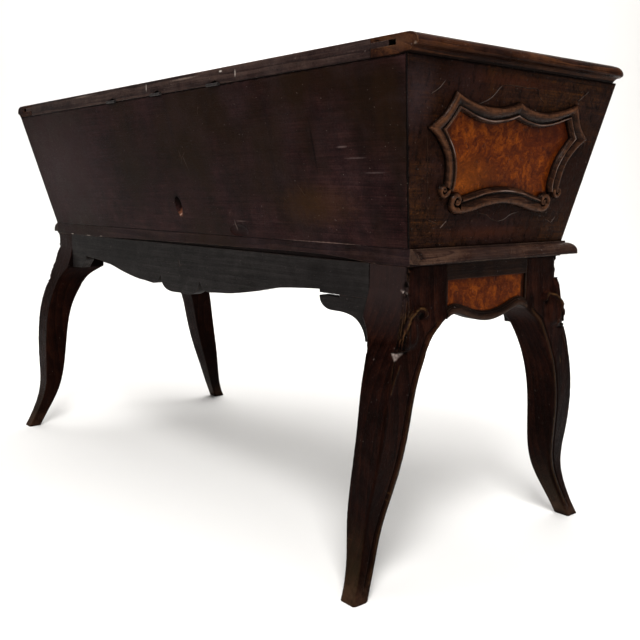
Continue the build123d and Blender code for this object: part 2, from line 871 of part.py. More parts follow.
battens = {name: less_nails(b) for name, b in battens.items()}
floor_back = less_nails(floor_back)
floor_front = less_nails(floor_front)
front_plank_lower = less_nails(front_plank_lower)
end_boards = {name: less_nails(b) for name, b in both_ways(end_board).items()}
back_board = less_nails(back_board)

# Base moulding round the ends and the front, mitred at the two front corners
# and cut off flush at the back.


def moulding_section():
    """Section as distance out from the trough and height."""
    top = trough_base_z
    low = stand_height + moulding_rise
    return closed_face([
        Line((0, low), (0, top)),
        Line((0, top), (moulding_fillet, top)),
        Line((moulding_fillet, top), (moulding_fillet, top - moulding_step)),
        ThreePointArc(
            (moulding_fillet, top - moulding_step),
            (moulding_reach * 0.78, top - moulding_step - (moulding_reach * 0.22)),
            (moulding_reach, low + moulding_nose)),
        Line((moulding_reach, low + moulding_nose), (moulding_reach, low)),
        Line((moulding_reach, low), (0, low)),
    ])


outer_x = base_half_length + moulding_reach
outer_y = base_half_depth + moulding_reach


def plan_block(points):
    """A tall block with a given plan, for cutting mitres."""
    return extrude(make_face(Polyline(*points, close=True)), far / 2)


end_bar = Pos(0, base_half_depth, 0) * extrude(
    Plane.XZ * (Pos(base_half_length, 0) * moulding_section()), 2 * base_half_depth + moulding_reach)
moulding_end = end_bar & plan_block([
    (base_half_length, base_half_depth), (outer_x, base_half_depth),
    (outer_x, -outer_y), (base_half_length, -base_half_depth)])
front_section = Plane(origin=(-outer_x, -base_half_depth, 0), x_dir=(0, -1, 0), z_dir=(-1, 0, 0))
front_bar = extrude(front_section * moulding_section(), -2 * outer_x)
moulding_front = front_bar & plan_block([
    (base_half_length, -base_half_depth), (outer_x, -outer_y),
    (-outer_x, -outer_y), (-base_half_length, -base_half_depth)])
end_mouldings = both_ways(moulding_end)


# ===================================================================== lid
# A flat lid of three lengthwise planks held by a grooved cleat across each end.
# One moulded edge runs round the ends and the front; the back edge is square.
lid_back_y = top_half_depth
lid_corner = lid_half_length - lid_corner_radius
lid_outline = closed_face([
    Line((-lid_half_length, lid_back_y), (-lid_half_length, lid_front_y + lid_corner_radius)),
    RadiusArc(
        (-lid_half_length, lid_front_y + lid_corner_radius),
        (-lid_corner, lid_front_y), -lid_corner_radius),
    Line((-lid_corner, lid_front_y), (lid_corner, lid_front_y)),
    RadiusArc(
        (lid_corner, lid_front_y),
        (lid_half_length, lid_front_y + lid_corner_radius), -lid_corner_radius),
    Line((lid_half_length, lid_front_y + lid_corner_radius), (lid_half_length, lid_back_y)),
    Line((lid_half_length, lid_back_y), (-lid_half_length, lid_back_y)),
])


def edge_waste():
    """What the moulding plane takes off: distance in from the nose, and height."""
    nose = trough_top_z + lid_nose_height
    cove_top = trough_top_z + lid_cove_height
    step = lid_top_z - lid_step
    out = -6.0
    return closed_face([
        Line((lid_cove_inset, trough_top_z), (lid_cove_inset, trough_top_z - 1)),
        Line((lid_cove_inset, trough_top_z - 1), (out, trough_top_z - 1)),
        Line((out, trough_top_z - 1), (out, lid_top_z + 1)),
        Line((out, lid_top_z + 1), (lid_edge_width, lid_top_z + 1)),
        Line((lid_edge_width, lid_top_z + 1), (lid_edge_width, step)),
        ThreePointArc(
            (lid_edge_width, step), (lid_edge_width * 0.32, step - lid_edge_width * 0.2),
            (0, nose)),
        ThreePointArc((0, nose), (1.2, nose - 3.4), (lid_cove_inset * 0.26, cove_top)),
        ThreePointArc(
            (lid_cove_inset * 0.26, cove_top),
            (lid_cove_inset * 0.72, cove_top - lid_cove_height * 0.36),
            (lid_cove_inset, trough_top_z)),
    ])


run_out = 10.0
edge_path = Wire([
    Line((-lid_half_length, lid_back_y + run_out), (-lid_half_length, lid_front_y + lid_corner_radius)),
    RadiusArc(
        (-lid_half_length, lid_front_y + lid_corner_radius),
        (-lid_corner, lid_front_y), -lid_corner_radius),
    Line((-lid_corner, lid_front_y), (lid_corner, lid_front_y)),
    RadiusArc(
        (lid_corner, lid_front_y),
        (lid_half_length, lid_front_y + lid_corner_radius), -lid_corner_radius),
    Line((lid_half_length, lid_front_y + lid_corner_radius), (lid_half_length, lid_back_y + run_out)),
])
section_plane = Plane(
    origin=(-lid_half_length, lid_back_y + run_out, 0), x_dir=(1, 0, 0), z_dir=(0, -1, 0))
lid_plate = Pos(0, 0, trough_top_z) * extrude(lid_outline, lid_thickness)
lid_plate -= sweep(section_plane * edge_waste(), path=edge_path)

cleat_inner = lid_half_length - cleat_width
tongue_low = trough_top_z + tongue_height
tongue_high = tongue_low + tongue_thickness
tongue_front = lid_front_y + tongue_front_stop


def lid_tongue(y0, y1):
    """Tongues on both ends of a plank."""
    reach = cleat_inner + tongue_length
    low = max(y0, tongue_front + joint_clearance)
    return box_between(-reach, reach, low, y1, tongue_low, tongue_high)


def lid_plank(y0, y1):
    """A lengthwise plank of the lid between two Y planes, with its tongues."""
    body = lid_plate & box_between(
        -cleat_inner, cleat_inner, y0, y1, trough_top_z - 1, lid_top_z + 1)
    return body + lid_tongue(max(y0, lid_front_y), min(y1, lid_back_y))


back_joint_y = lid_back_y - back_plank_width
front_joint_y = back_joint_y - middle_plank_width


def eased_below(part):
    """A piece of the lid with its lower back arris worn round."""
    lowest = part.edges().filter_by(Axis.X).group_by(Axis.Z)[0]
    return fillet(lowest.sort_by(Axis.Y)[-1], lid_arris_radius)


lid_plank_back = eased_below(lid_plank(back_joint_y, lid_back_y))
lid_plank_middle = lid_plank(front_joint_y, back_joint_y)
lid_plank_front = lid_plank(lid_front_y - 1, front_joint_y)

lid_cleat = lid_plate & box_between(
    cleat_inner, lid_half_length + 1, lid_front_y - 1, lid_back_y,
    trough_top_z - 1, lid_top_z + 1)
lid_cleat -= box_between(
    cleat_inner - 1, cleat_inner + groove_depth, tongue_front, lid_back_y + 1,
    tongue_low - joint_clearance, tongue_high + joint_clearance)
lid_cleats = both_ways(eased_below(lid_cleat))

# ================================================================== hinges
# Three small iron butt hinges, let in flush between the back board and the lid,
# with only the thin knuckle outside at the joint line.
hinge_y = top_half_depth + knuckle_clearance + knuckle_radius
hinge_z = trough_top_z
segment = hinge_length / 3
hinge_leaf_front_y = top_half_depth - hinge_leaf_depth
screw_y = top_half_depth - hinge_leaf_depth * 0.55


def knuckle(x0, x1):
    """One barrel of the hinge, bored for the pin."""
    barrel = rod((x0, hinge_y, hinge_z), (1, 0, 0), x1 - x0, knuckle_radius)
    return barrel - rod((x0, hinge_y, hinge_z), (1, 0, 0), x1 - x0, pin_radius + pin_fit)


def hinge_leaf(x, upper):
    """One leaf and its barrels: two at the ends below, one in the middle above."""
    z0 = hinge_z + hinge_leaf_fit if upper else hinge_z - hinge_leaf_fit - hinge_leaf_thickness
    z1 = z0 + hinge_leaf_thickness
    left = x - hinge_length / 2
    plate = box_between(
        left, left + hinge_length, hinge_leaf_front_y, top_half_depth - knuckle_gap, z0, z1)
    bore = rod((left, hinge_y, hinge_z), (1, 0, 0), hinge_length, pin_radius + pin_fit)
    spans = [(1, 2)] if upper else [(0, 1), (2, 3)]
    for a, b in spans:
        x0 = left + a * segment + knuckle_gap / 2
        x1 = left + b * segment - knuckle_gap / 2
        arm = box_between(x0, x1, top_half_depth - knuckle_gap, hinge_y, z0, z1)
        plate += (arm - bore)
        plate += knuckle(x0, x1)
    return plate


def screw(x, direction):
    """Countersunk screw through a leaf into the wood."""
    start = hinge_z + direction * hinge_leaf_fit
    shank = rod((x, screw_y, start), (0, 0, direction), screw_length, screw_radius)
    head_depth = hinge_leaf_thickness * 0.6
    head = rod((x, screw_y, start), (0, 0, direction), head_depth, screw_head_radius)
    return shank + head


def hinge_pin(x):
    """Pin with a small head at each end, held in the lower leaf."""
    left = x - hinge_length / 2
    pin = rod((left - pin_head, hinge_y, hinge_z), (1, 0, 0), hinge_length + 2 * pin_head, pin_radius)
    for x0 in (left - pin_head, left + hinge_length):
        pin += rod((x0, hinge_y, hinge_z), (1, 0, 0), pin_head, knuckle_radius)
    return pin


def hinge_notch(x):
    """The three-cornered break in the lid's back edge above a hinge."""
    half = hinge_length / 2
    face = closed_face([
        Line((x - half, hinge_z), (x - half * 0.2, hinge_z + hinge_notch_rise)),
        Line((x - half * 0.2, hinge_z + hinge_notch_rise),
             (x + half * 0.3, hinge_z + hinge_notch_rise * 0.85)),
        Line((x + half * 0.3, hinge_z + hinge_notch_rise * 0.85), (x + half, hinge_z)),
        Line((x + half, hinge_z), (x - half, hinge_z)),
    ])
    return extruded_y(face, top_half_depth - hinge_notch_depth, top_half_depth + 1)


leaves_lower = [hinge_leaf(x, False) for x in hinge_places]
leaves_upper = [hinge_leaf(x, True) for x in hinge_places]
pins = [hinge_pin(x) for x in hinge_places]
screws_lower, screws_upper = [], []
for x in hinge_places:
    seat = box_between(
        x - hinge_length / 2 - hinge_leaf_fit, x + hinge_length / 2 + hinge_leaf_fit,
        hinge_leaf_front_y - hinge_leaf_fit, top_half_depth + 1,
        hinge_z - hinge_leaf_thickness - 2 * hinge_leaf_fit,
        hinge_z + hinge_leaf_thickness + 2 * hinge_leaf_fit)
    back_board -= seat
    lid_plank_back -= seat
    lid_plank_back -= hinge_notch(x)
    for offset_x in (-screw_spacing / 2, screw_spacing / 2):
        screws_lower.append(screw(x + offset_x, -1))
        screws_upper.append(screw(x + offset_x, 1))
for one in screws_lower:
    back_board -= one
    leaves_lower = [l - one for l in leaves_lower]
for one in screws_upper:
    lid_plank_back -= one
    leaves_upper = [l - one for l in leaves_upper]


# =================================================================== output
# The feet stand a little further behind the trough's middle than in front of it.
to_middle_of_feet = Pos(0, -(stand_back - stand_front) / 2, 0)


def save(name, *solids):
    """Writes one node as a STEP file; several solids make one group."""
    shapes = []
    for piece in solids:
        shapes += (to_middle_of_feet * piece).solids()
    shape = shapes[0] if len(shapes) == 1 else Compound(children=shapes)
    export_step(shape, "parts/" + name + ".step")


for side in ("left", "right"):
    save("leg_back_" + side, back_legs[side])
    save("leg_front_" + side, front_legs[side])
    save("ear_front_" + side, front_ears[side])
    save("apron_" + side, end_aprons[side])
    save("apron_burr_" + side, end_burrs[side])
    save("end_board_" + side, end_boards[side])
    save("end_frame_" + side, both_ways(end_frame)[side])
    save("end_scroll_" + side, both_ways(end_scroll)[side])
    save("end_burr_panel_" + side, both_ways(end_panel)[side])
    save("front_frame_" + side, front_frames[side])
    save("front_scroll_" + side, front_scrolls[side])
    save("front_burr_panel_" + side, front_panels[side])
    save("base_moulding_" + side, end_mouldings[side])
    save("floor_batten_" + side, battens[side])
    save("lid_cleat_" + side, lid_cleats[side])
save("ear_back_left", ear_back_left)
save("ear_back_right", ear_back_right)
save("apron_back", apron_back)
save("apron_front", apron_front)
save("apron_burr_front", *front_burr)
save("back_board", back_board)
save("front_plank_lower", front_plank_lower)
save("front_plank_upper", front_plank_upper)
save("floor_plank_back", floor_back)
save("floor_plank_front", floor_front)
save("floor_nails", *nails)
save("batten_nails", *batten_nails)
save("base_moulding_front", moulding_front)
save("lid_plank_back", lid_plank_back)
save("lid_plank_middle", lid_plank_middle)
save("lid_plank_front", lid_plank_front)
save("hinge_leaves_lower", *leaves_lower)
save("hinge_leaves_upper", *leaves_upper)
save("hinge_pins", *pins)
save("hinge_screws_lower", *screws_lower)
save("hinge_screws_upper", *screws_upper)
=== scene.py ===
import math

import bmesh
import bpy
import numpy as np
from mathutils import Matrix, Vector, noise


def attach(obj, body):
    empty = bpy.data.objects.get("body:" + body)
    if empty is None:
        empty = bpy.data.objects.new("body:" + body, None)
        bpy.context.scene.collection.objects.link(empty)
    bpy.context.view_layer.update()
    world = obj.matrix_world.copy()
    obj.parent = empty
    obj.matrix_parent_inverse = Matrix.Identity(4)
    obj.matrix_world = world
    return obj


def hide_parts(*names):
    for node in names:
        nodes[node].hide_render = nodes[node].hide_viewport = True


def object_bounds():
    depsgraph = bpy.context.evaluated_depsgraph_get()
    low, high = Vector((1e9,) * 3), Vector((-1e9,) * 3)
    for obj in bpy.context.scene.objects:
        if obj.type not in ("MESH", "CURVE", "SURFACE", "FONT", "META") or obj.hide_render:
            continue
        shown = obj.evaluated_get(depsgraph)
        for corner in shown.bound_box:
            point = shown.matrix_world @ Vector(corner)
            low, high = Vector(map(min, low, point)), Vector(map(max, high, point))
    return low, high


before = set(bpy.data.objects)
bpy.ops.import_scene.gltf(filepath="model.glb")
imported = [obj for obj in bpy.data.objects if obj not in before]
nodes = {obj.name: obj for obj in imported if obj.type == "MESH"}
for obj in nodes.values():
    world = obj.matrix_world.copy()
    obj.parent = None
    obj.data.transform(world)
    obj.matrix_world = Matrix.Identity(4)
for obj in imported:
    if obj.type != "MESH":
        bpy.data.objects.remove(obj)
cad_low, cad_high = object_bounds()


# ---------------------------------------------------------------- back board
# One wide board of walnut, planed by hand, that leans out between the end boards and
# stands on the bottom boards.
MM = 0.001
GRAIN_TURN = {"X": (0, 0, 0), "Y": (0, 0, -math.pi / 2), "Z": (0, math.pi / 2, 0)}
# the warm gleam of the wax, and how far the painted shade and the dark wax reach out of a hollow
WAX_TINT = "#f4dccd"
HOLLOW_SHADE_REACH = 16 * MM


def colour(code):
    """A colour written as sRGB hex, in linear light."""
    parts = [int(code[i:i + 2], 16) / 255 for i in (1, 3, 5)]
    return tuple(c / 12.92 if c <= 0.04045 else ((c + 0.055) / 1.055) ** 2.4 for c in parts) + (1,)


def new_material(name):
    """An empty material, and the function that adds nodes to it."""
    material = bpy.data.materials.new(name)
    material.use_nodes = True
    tree = material.node_tree
    tree.nodes.clear()

    def add(kind, inputs=(), out=0, stops=(), **settings):
        """Adds a node and gives back one output. Inputs are values or the sockets that feed
        them, and stops are the three places and colours of a ramp."""
        node = tree.nodes.new("ShaderNode" + kind)
        for key, value in settings.items():
            setattr(node, key, value)
        if stops:
            node.color_ramp.elements.new(0.5)
            for element, (position, code) in zip(node.color_ramp.elements, stops):
                element.position = position
                element.color = colour(code)
        for key, value in inputs.items() if isinstance(inputs, dict) else enumerate(inputs):
            if isinstance(value, bpy.types.NodeSocket):
                tree.links.new(value, node.inputs[key])
            else:
                node.inputs[key].default_value = value
        return node.outputs[out] if node.outputs else None

    return material, add


def built_up(add, parts, start=0.0):
    """Patterns added together, each times its share."""
    for share, pattern in parts:
        start = add("Math", [pattern, share, start], operation="MULTIPLY_ADD")
    return start


def coated(add, shade, coats):
    """Lays coats of colour over a shade, each as thick as its factors multiplied together."""
    for code, thickness, *factors in coats:
        for factor in factors:
            thickness = add("Math", [thickness, factor], operation="MULTIPLY")
        shade = add("Mix", {0: thickness, 6: shade, 7: colour(code)}, 2, data_type="RGBA")
    return shade


def spot(add, place, centre, radii, soft=0.5, ragged=0.25):
    """A soft-edged oval mark at a place on the piece, in millimetres."""
    away = add("VectorMath", [place, [c * MM for c in centre]], operation="SUBTRACT")
    away = add("VectorMath", [away, [r * MM for r in radii]], operation="DIVIDE")
    away = add("VectorMath", [away], "Value", operation="LENGTH")
    wobble = add("TexNoise", {"Vector": place, "Scale": 140.0, "Detail": 3.0, "Roughness": 0.6})
    away = add("Math", [wobble, ragged, away], operation="MULTIPLY_ADD")
    edge = 1 + ragged * 0.5
    return add("MapRange", [away, edge * (1 - soft), edge, 1.0, 0.0])


def wood(name, grain, deep, body, pale, seed=0.0, second=None, worn="#5d4231", bloom="#3a2d30",
         bloom_share=0.35, edge_share=0.6, roughness=0.42, gloss=0.055, marks=(), dents=(),
         seams=(), foot_dark=0.0, ring_share=0.12, rough_share=0.18, streaks=0.0, height_share=0.3,
         flecked=0.45):
    """Old walnut under dark stain and wax, with its grain along one axis.

    deep, body and pale are the stained wood from dark to light, second a stain in large
    patches, worn the wood of rubbed edges, also laid on carved heights as a painted
    highlight, bloom the greyish old wax.
    Each share says how strongly its pattern shows, and seed moves the grain along.
    marks are soft ovals at places on the piece: colour, share, centre, radii, softness
    and raggedness. dents are ovals broken 1 mm in. seams are planes where a joint shows
    as a dark line: normal, point, half width and darkness. foot_dark is for the legs,
    which are painted darker downwards as shade, and are scuffed at the foot.
    """
    material, add = new_material(name)
    place = add("TexCoord", out="Object")
    along = add("Mapping", {"Vector": place, "Rotation": GRAIN_TURN[grain],
                            "Location": (seed, seed * 0.37, seed * 0.71)})
    even = (1, 1, 1)
    lumps = {key: add("TexNoise", {
        "Vector": add("Mapping", {"Vector": where, "Scale": stretch}),
        "Scale": per_metre, "Detail": detail, "Roughness": rough})
        for key, where, stretch, per_metre, detail, rough in (
            # lumps per metre from real sizes: fibre 2.4 mm and pores 0.8 mm across are
            # coarser than the real ones, so that they show
            ("wander", along, (1, 3, 3), 2.4, 3.0, 0.5),
            ("fibre", along, (0.022, 1, 1), 420.0, 5.0, 0.72),
            ("pores", along, (0.05, 1, 1), 1300.0, 2.0, 0.5),
            ("broad", along, (0.45, 1, 1), 6.0, 4.0, 0.6),
            ("mottle", along, even, 38.0, 5.0, 0.6),
            ("crumb", place, even, 340.0, 4.0, 0.7),
            ("patches", place, even, 11.0, 6.0, 0.62),
            ("speckle", place, even, 260.0, 3.0, 0.6),
            ("rubbed", place, even, 46.0, 5.0, 0.7),
            ("chips", place, even, 150.0, 3.0, 0.6),
            ("handled", place, even, 120.0, 5.0, 0.75),
            ("scratched", along, even, 17.0, 2.0, 0.5),
            ("flecks", place, even, 230.0, 2.0, 0.5),
            ("planed", along, (0.4, 1, 1), 24.0, 3.0, 0.5),
            ("grit", place, even, 300.0, 4.0, 0.65))}

    # growth rings about a pith outside the board, drawn out along the grain
    rings = add("TexWave", {
        "Vector": add("Mapping", {
            "Vector": along, "Scale": (0.07, 1, 1), "Location": (0, 0.19, -0.27)}),
        "Scale": 22.0, "Distortion": 12.0, "Detail": 4.0, "Detail Scale": 0.20,
        "Detail Roughness": 0.66,
        "Phase Offset": add("Math", [lumps["wander"], 14.0], operation="MULTIPLY")},
        "Fac", wave_type="RINGS", rings_direction="X", wave_profile="SAW")
    tone = built_up(add, (
        (ring_share, rings), (0.42, lumps["fibre"]), (0.42, lumps["broad"]),
        (0.30, lumps["mottle"]), (rough_share, lumps["crumb"])), -0.5 * (ring_share + rough_share))
    shade = add("ValToRGB", [tone], stops=((0.45, deep), (0.57, body), (0.72, pale)))
    if second:
        stain = add("TexNoise", {"Vector": place, "Scale": 4.6, "Detail": 3.0, "Roughness": 0.55})
        stain = add("MapRange", [stain, 0.44, 0.60])
        for thickness, way in ((0.85, "SOFT_LIGHT"), (0.45, "MIX")):
            share = add("Math", [stain, thickness], operation="MULTIPLY")
            shade = add("Mix", {0: share, 6: shade, 7: colour(second)}, 2, data_type="RGBA",
                        blend_type=way)
    pores = add("MapRange", [lumps["pores"], 0.60, 0.72])
    patches = add("MapRange", [lumps["patches"], 0.42, 0.68])
    coats = [("#060303", 0.6, pores)]
    if streaks:
        runs = add("TexNoise", {
            "Vector": add("Mapping", {"Vector": place, "Scale": (1, 1, 0.07)}),
            "Scale": 34.0, "Detail": 4.0, "Roughness": 0.6})
        coats.append(("#0b0606", streaks, add("MapRange", [runs, 0.50, 0.72])))
    coats.append((bloom, bloom_share, patches, add("MapRange", [lumps["speckle"], 0.40, 0.62, 0.4, 1.0])))

    # rubbed arrises, where the rounded normal leaves the true one, but not along a joint
    soft_normal = add("Bevel", {"Radius": 2.2 * MM}, samples=6)
    facing = add("VectorMath", [soft_normal, add("NewGeometry", out="True Normal")], "Value",
                 operation="DOT_PRODUCT")
    hollow_shade = add("AmbientOcclusion", {"Distance": HOLLOW_SHADE_REACH}, "AO", samples=6)
    open_edge = add("Math", [
        add("MapRange", [facing, 0.98, 0.80]), add("MapRange", [hollow_shade, 0.74, 0.97])],
        operation="MULTIPLY")
    if seams:
        joint = 0.0
        wavy = add("TexNoise", {
            "Vector": add("Mapping", {"Vector": place, "Scale": (1, 1, 0.5)}),
            "Scale": 130.0, "Detail": 4.0, "Roughness": 0.75})
        wavy = add("Math", [wavy, 0.5], operation="SUBTRACT")
    for normal, point, half_width, darkness in seams:
        normal = Vector(normal).normalized()
        away = add("VectorMath", [place, normal], "Value", operation="DOT_PRODUCT")
        away = add("Math", [away, normal.dot(Vector(point)) * MM], operation="SUBTRACT")
        away = add("Math", [away], operation="ABSOLUTE")
        away = built_up(add, [((1.2 + 2.2 * half_width) * MM, wavy)], away)
        clear = add("MapRange", [away, 5 * MM, 6 * MM])
        open_edge = add("Math", [open_edge, clear], operation="MULTIPLY")
        reach = (half_width + 0.15) * MM
        line = add("MapRange", [away, reach, reach * 0.55, 0.0, darkness])
        joint = add("Math", [joint, line], operation="MAXIMUM")
    coats += [
        (worn, edge_share, open_edge, add("MapRange", [lumps["rubbed"], 0.44, 0.62])),
        ("#8c7a6c", edge_share, open_edge, add("MapRange", [lumps["chips"], 0.66, 0.72]))]

    if foot_dark:
        height = add("SeparateXYZ", [place], "Z")
        turned = add("Math", [add("SeparateXYZ", [soft_normal], "Y")], operation="ABSOLUTE")
        long_face = add("MapRange", [turned, 0.70, 0.92])
        patchy = add("TexNoise", {"Vector": place, "Scale": 55.0, "Detail": 5.0, "Roughness": 0.7})
        coats += [
            # painted shade: darker downwards below 0.42 m, less so on the long faces
            ("#060201", add("MapRange", [height, 0.42, 0.16, 0.0, foot_dark]),
             add("MapRange", [long_face, 0.0, 1.0, 1.0, 0.6])),
            ("#33281a", long_face, add("MapRange", [height, 0.13, 0.02, 0.0, 0.5]),
             add("MapRange", [patchy, 0.35, 0.6, 0.5, 1.0])),
            ("#4d3527", add("MapRange", [height, 0.045, 0.0, 0.0, 0.45]),
             add("MapRange", [patchy, 0.40, 0.56, 0.25, 1.0])),
            ("#2f2625", long_face, add("MapRange", [height, 0.40, 0.47, 0.0, 0.55]))]

    # painted light and shade of the carving, where a piece carries it: 1 on the heights,
    # painted pale as highlight with some wear, and -1 in the cuts, painted near black as shade
    painted_relief = add("Attribute", out="Fac", attribute_name="painted_relief")
    coats += [
        (worn, height_share, add("MapRange", [painted_relief, 0.30, 1.1]),
         add("MapRange", [lumps["handled"], 0.36, 0.62, 0.15, 1.0])),
        ("#020101", 0.95, add("MapRange", [painted_relief, -0.1, -0.9])),
        # painted shade: darker where the surface is closed in, in hollows, under things and between
        # parts, with dark wax there too
        ("#050302", add("MapRange", [hollow_shade, 0.92, 0.30, 0.0, 0.85]))]
    if seams:
        coats.append(("#050303", joint))

    # fine scratches in the wax, broken up so that only short lengths show
    web = add("TexVoronoi", {
        "Vector": add("Mapping", {
            "Vector": place, "Scale": (1, 1.7, 0.8), "Rotation": (0.5, 0.9, 0.3)}),
        "Scale": 13.0}, "Distance", feature="DISTANCE_TO_EDGE")
    scratches = add("Math", [
        add("MapRange", [web, 0.010, 0.002]), add("MapRange", [lumps["scratched"], 0.66, 0.72])],
        operation="MULTIPLY")
    coats += [
        (worn, 0.2, scratches),
        ("#8d7d75", flecked, add("MapRange", [lumps["flecks"], 0.735, 0.77])),
        # pale bare wood where chips and scored lines break the stain, and painted glints on the frames'
        # beads
        ("#a8978f", add("Attribute", out="Fac", attribute_name="bare_and_glint"))]
    relief_parts = [
        (0.45, lumps["fibre"]), (-0.35, pores), (1.0, lumps["planed"]), (0.35, lumps["grit"]),
        (-0.5, scratches)]
    coats += [(code, share, spot(add, place, *oval)) for code, share, *oval in marks]
    relief_parts += [(-1.0, spot(add, place, *oval)) for oval in dents]
    if seams:
        relief_parts.append((-1.0, joint))
    bumped = add("Bump", {
        "Height": built_up(add, relief_parts), "Strength": 0.8, "Distance": 1.0 * MM,
        "Normal": soft_normal})
    shader = add("BsdfPrincipled", {
        "Base Color": coated(add, shade, coats), "Normal": bumped,
        "Roughness": add("MapRange", [patches, 0.0, 1.0, roughness - 0.08, roughness + 0.12]),
        "IOR": 1.45, "Specular IOR Level": gloss, "Specular Tint": colour(WAX_TINT)})
    add("OutputMaterial", {"Surface": shader})
    return material


def dress(material, *starts):
    """Gives a material to the CAD nodes whose names start so."""
    for name, item in nodes.items():
        if name.startswith(starts):
            item.data.materials.clear()
            item.data.materials.append(material)


# joints that show as dark lines: normal, point, half width and darkness
END_JOINTS = [((1, 0, 0.19134), (-659, 0, 545), 2.7, 0.95), ((-1, 0, 0.19134), (659, 0, 545), 2.7, 0.95)]
FLOOR_JOINT = ((0, 0, 1), (0, 0, 545), 0.7, 0.75)
# the line under the lid is widened into a painted shadow under the lid's edge
LID_JOINT_SHADOW = ((0, 0, 1), (0, 0, 822), 3.2, 0.9)

# Hand-planed walnut, stained nearly black and waxed. It gives a low, broken sheen over
# a dark ground with olive and purple patches; the large purple-grey patch at the far
# end is a painted sheen.
board_back = wood(
    "walnut_back_board", "X", "#0a0303", "#200e0e", "#38211f", 0.3, second="#2a1a0d",
    bloom="#36292a", bloom_share=0.45, streaks=0.55, rough_share=0.34, ring_share=0.05, gloss=0.03,
    seams=[*END_JOINTS, FLOOR_JOINT, LID_JOINT_SHADOW],
    marks=[
        # a purple-grey patch of painted sheen, and an olive stain
        ("#4c3c3e", 0.45, (540, 232, 690), (330, 80, 210), 0.9, 0.6),
        ("#43290d", 0.7, (-462, 230, 606), (125, 60, 48), 0.9, 0.8),
        # the knot hole, with torn wood and a pale splinter below it
        ("#060303", 0.95, (-2, 207, 613), (17, 30, 22)),
        ("#7a4a36", 0.85, (-3, 204, 588), (11, 30, 12), 0.4, 0.6),
        ("#c9a58f", 0.7, (-1, 204, 583), (4, 30, 4), 0.5, 0.8),
        # the gouge and its pale edges
        ("#0b0506", 0.6, (-213, 196, 559), (34, 30, 15), 0.7, 0.7),
        ("#7b6a63", 0.5, (-200, 196, 566), (2, 30, 13), 0.5, 0.6),
        ("#6d5c57", 0.4, (-220, 198, 575), (20, 30, 1.4), 0.5, 0.7),
        # the long crack and the old dark knot
        ("#040202", 0.9, (-475, 250, 701), (3.6, 80, 58), 0.6, 0.5),
        ("#0d0606", 0.55, (-590, 240, 664), (62, 80, 30), 0.9, 0.9),
        # pale scratches round the knot, and the rubbed lower edge
        ("#6b5a57", 0.5, (-545, 240, 701), (16, 80, 2.2), 0.5, 0.9),
        ("#5c4b49", 0.5, (-573, 235, 683), (30, 80, 1.8), 0.5, 0.9),
        ("#5c4b49", 0.5, (-612, 230, 660), (30, 80, 1.8), 0.5, 0.9),
        ("#8a7168", 0.7, (-455, 192, 545.5), (110, 30, 1.5), 0.5, 1.2),
    ])
dress(board_back, "back_board")


# ---------------------------------------------------------------- bottom boards
# Two walnut boards along the trough, nailed up into the walls, and a batten under each
# end that keeps the trough on its stand.
# Planed walnut like the back board's, dark and waxed. Three bare spots where the lower
# edge is broken catch the light.
floor_wood = wood(
    "walnut_bottom_boards", "X", "#0b0505", "#1d100f", "#33231f", 0.9, second="#2a1a0d",
    bloom="#362a2e", bloom_share=0.45, seams=[FLOOR_JOINT, ((0, 1, 0), (0, -4, 0), 0.4, 0.8)],
    marks=[
        ("#b3a49b", 0.9, (567, 192, 519), (9, 12, 1.6), 0.5, 0.9),
        ("#a2938b", 0.8, (470, 192, 519), (13, 12, 1.4), 0.5, 1.1),
        ("#94857d", 0.8, (398, 192, 520), (8, 12, 1.5), 0.5, 0.9),
    ])
dress(floor_wood, "floor_plank", "floor_batten")


# ---------------------------------------------------------------- end boards
# One walnut board at each end, leaning out, with a thin lip over the ends of the long
# boards.
# Planed walnut, browner and rougher than the back and nearly without sheen, with
# reddish strips at top and bottom and a greyish patch towards the back.
board_end = wood(
    "walnut_end_board", "Y", "#0b0503", "#25140b", "#47290f", 1.7, second="#2c1710",
    bloom="#33272a", bloom_share=0.3, rough_share=0.42, ring_share=0.06,
    seams=[*END_JOINTS, LID_JOINT_SHADOW], gloss=0.025,
    marks=[
        ("#4a2415", 0.45, (-708, 0, 803), (40, 150, 13), 0.8, 0.7),
        ("#46210f", 0.4, (-667, 20, 566), (40, 150, 14), 0.8, 0.8),
        ("#3a3033", 0.45, (-700, 228, 770), (50, 46, 60), 0.9, 0.8),
        ("#0a0505", 0.9, (-667, 180, 549), (14, 16, 5), 0.5, 1.0),
        ("#170d0b", 0.4, (-676, -170, 600), (60, 110, 75), 0.9, 0.5),
    ])
dress(board_end, "end_board")


# ---------------------------------------------------------------- base moulding
# A walnut moulding worked with a plane, fixed round the ends and the front where the
# trough meets its stand, and mitred at the two front corners.
# Waxed walnut rubbed by hands, so it is paler and glossier than the boards, down to the
# bare wood on its edges. Its back corner is broken and dark.
moulding_wood = wood(
    "walnut_base_moulding", "Y", "#100806", "#261712", "#453126", 2.3, bloom="#372b28",
    bloom_share=0.4, edge_share=0.6, worn="#74604c", roughness=0.34, gloss=0.08,
    marks=[
        ("#080404", 0.85, (-676, 186, 536), (18, 10, 14), 0.5, 1.2),
        ("#c8bbb2", 0.8, (-680, 184, 540), (3.2, 5, 3), 0.5, 1.0),
    ],
    dents=[((-676, 186, 536), (18, 10, 14), 0.5, 1.2)])
dress(moulding_wood, "base_moulding")


# ---------------------------------------------------------------- front boards
# Two walnut planks glued edge to edge, leaning out as the back board does.
# Planed and waxed walnut, a little browner than the back board, with a soft sheen.
board_front = wood(
    "walnut_front_board", "X", "#0e0604", "#23130c", "#3d271a", 2.9, bloom="#33261f", ring_share=0.07,
    seams=[*END_JOINTS, LID_JOINT_SHADOW])
dress(board_front, "front_plank")


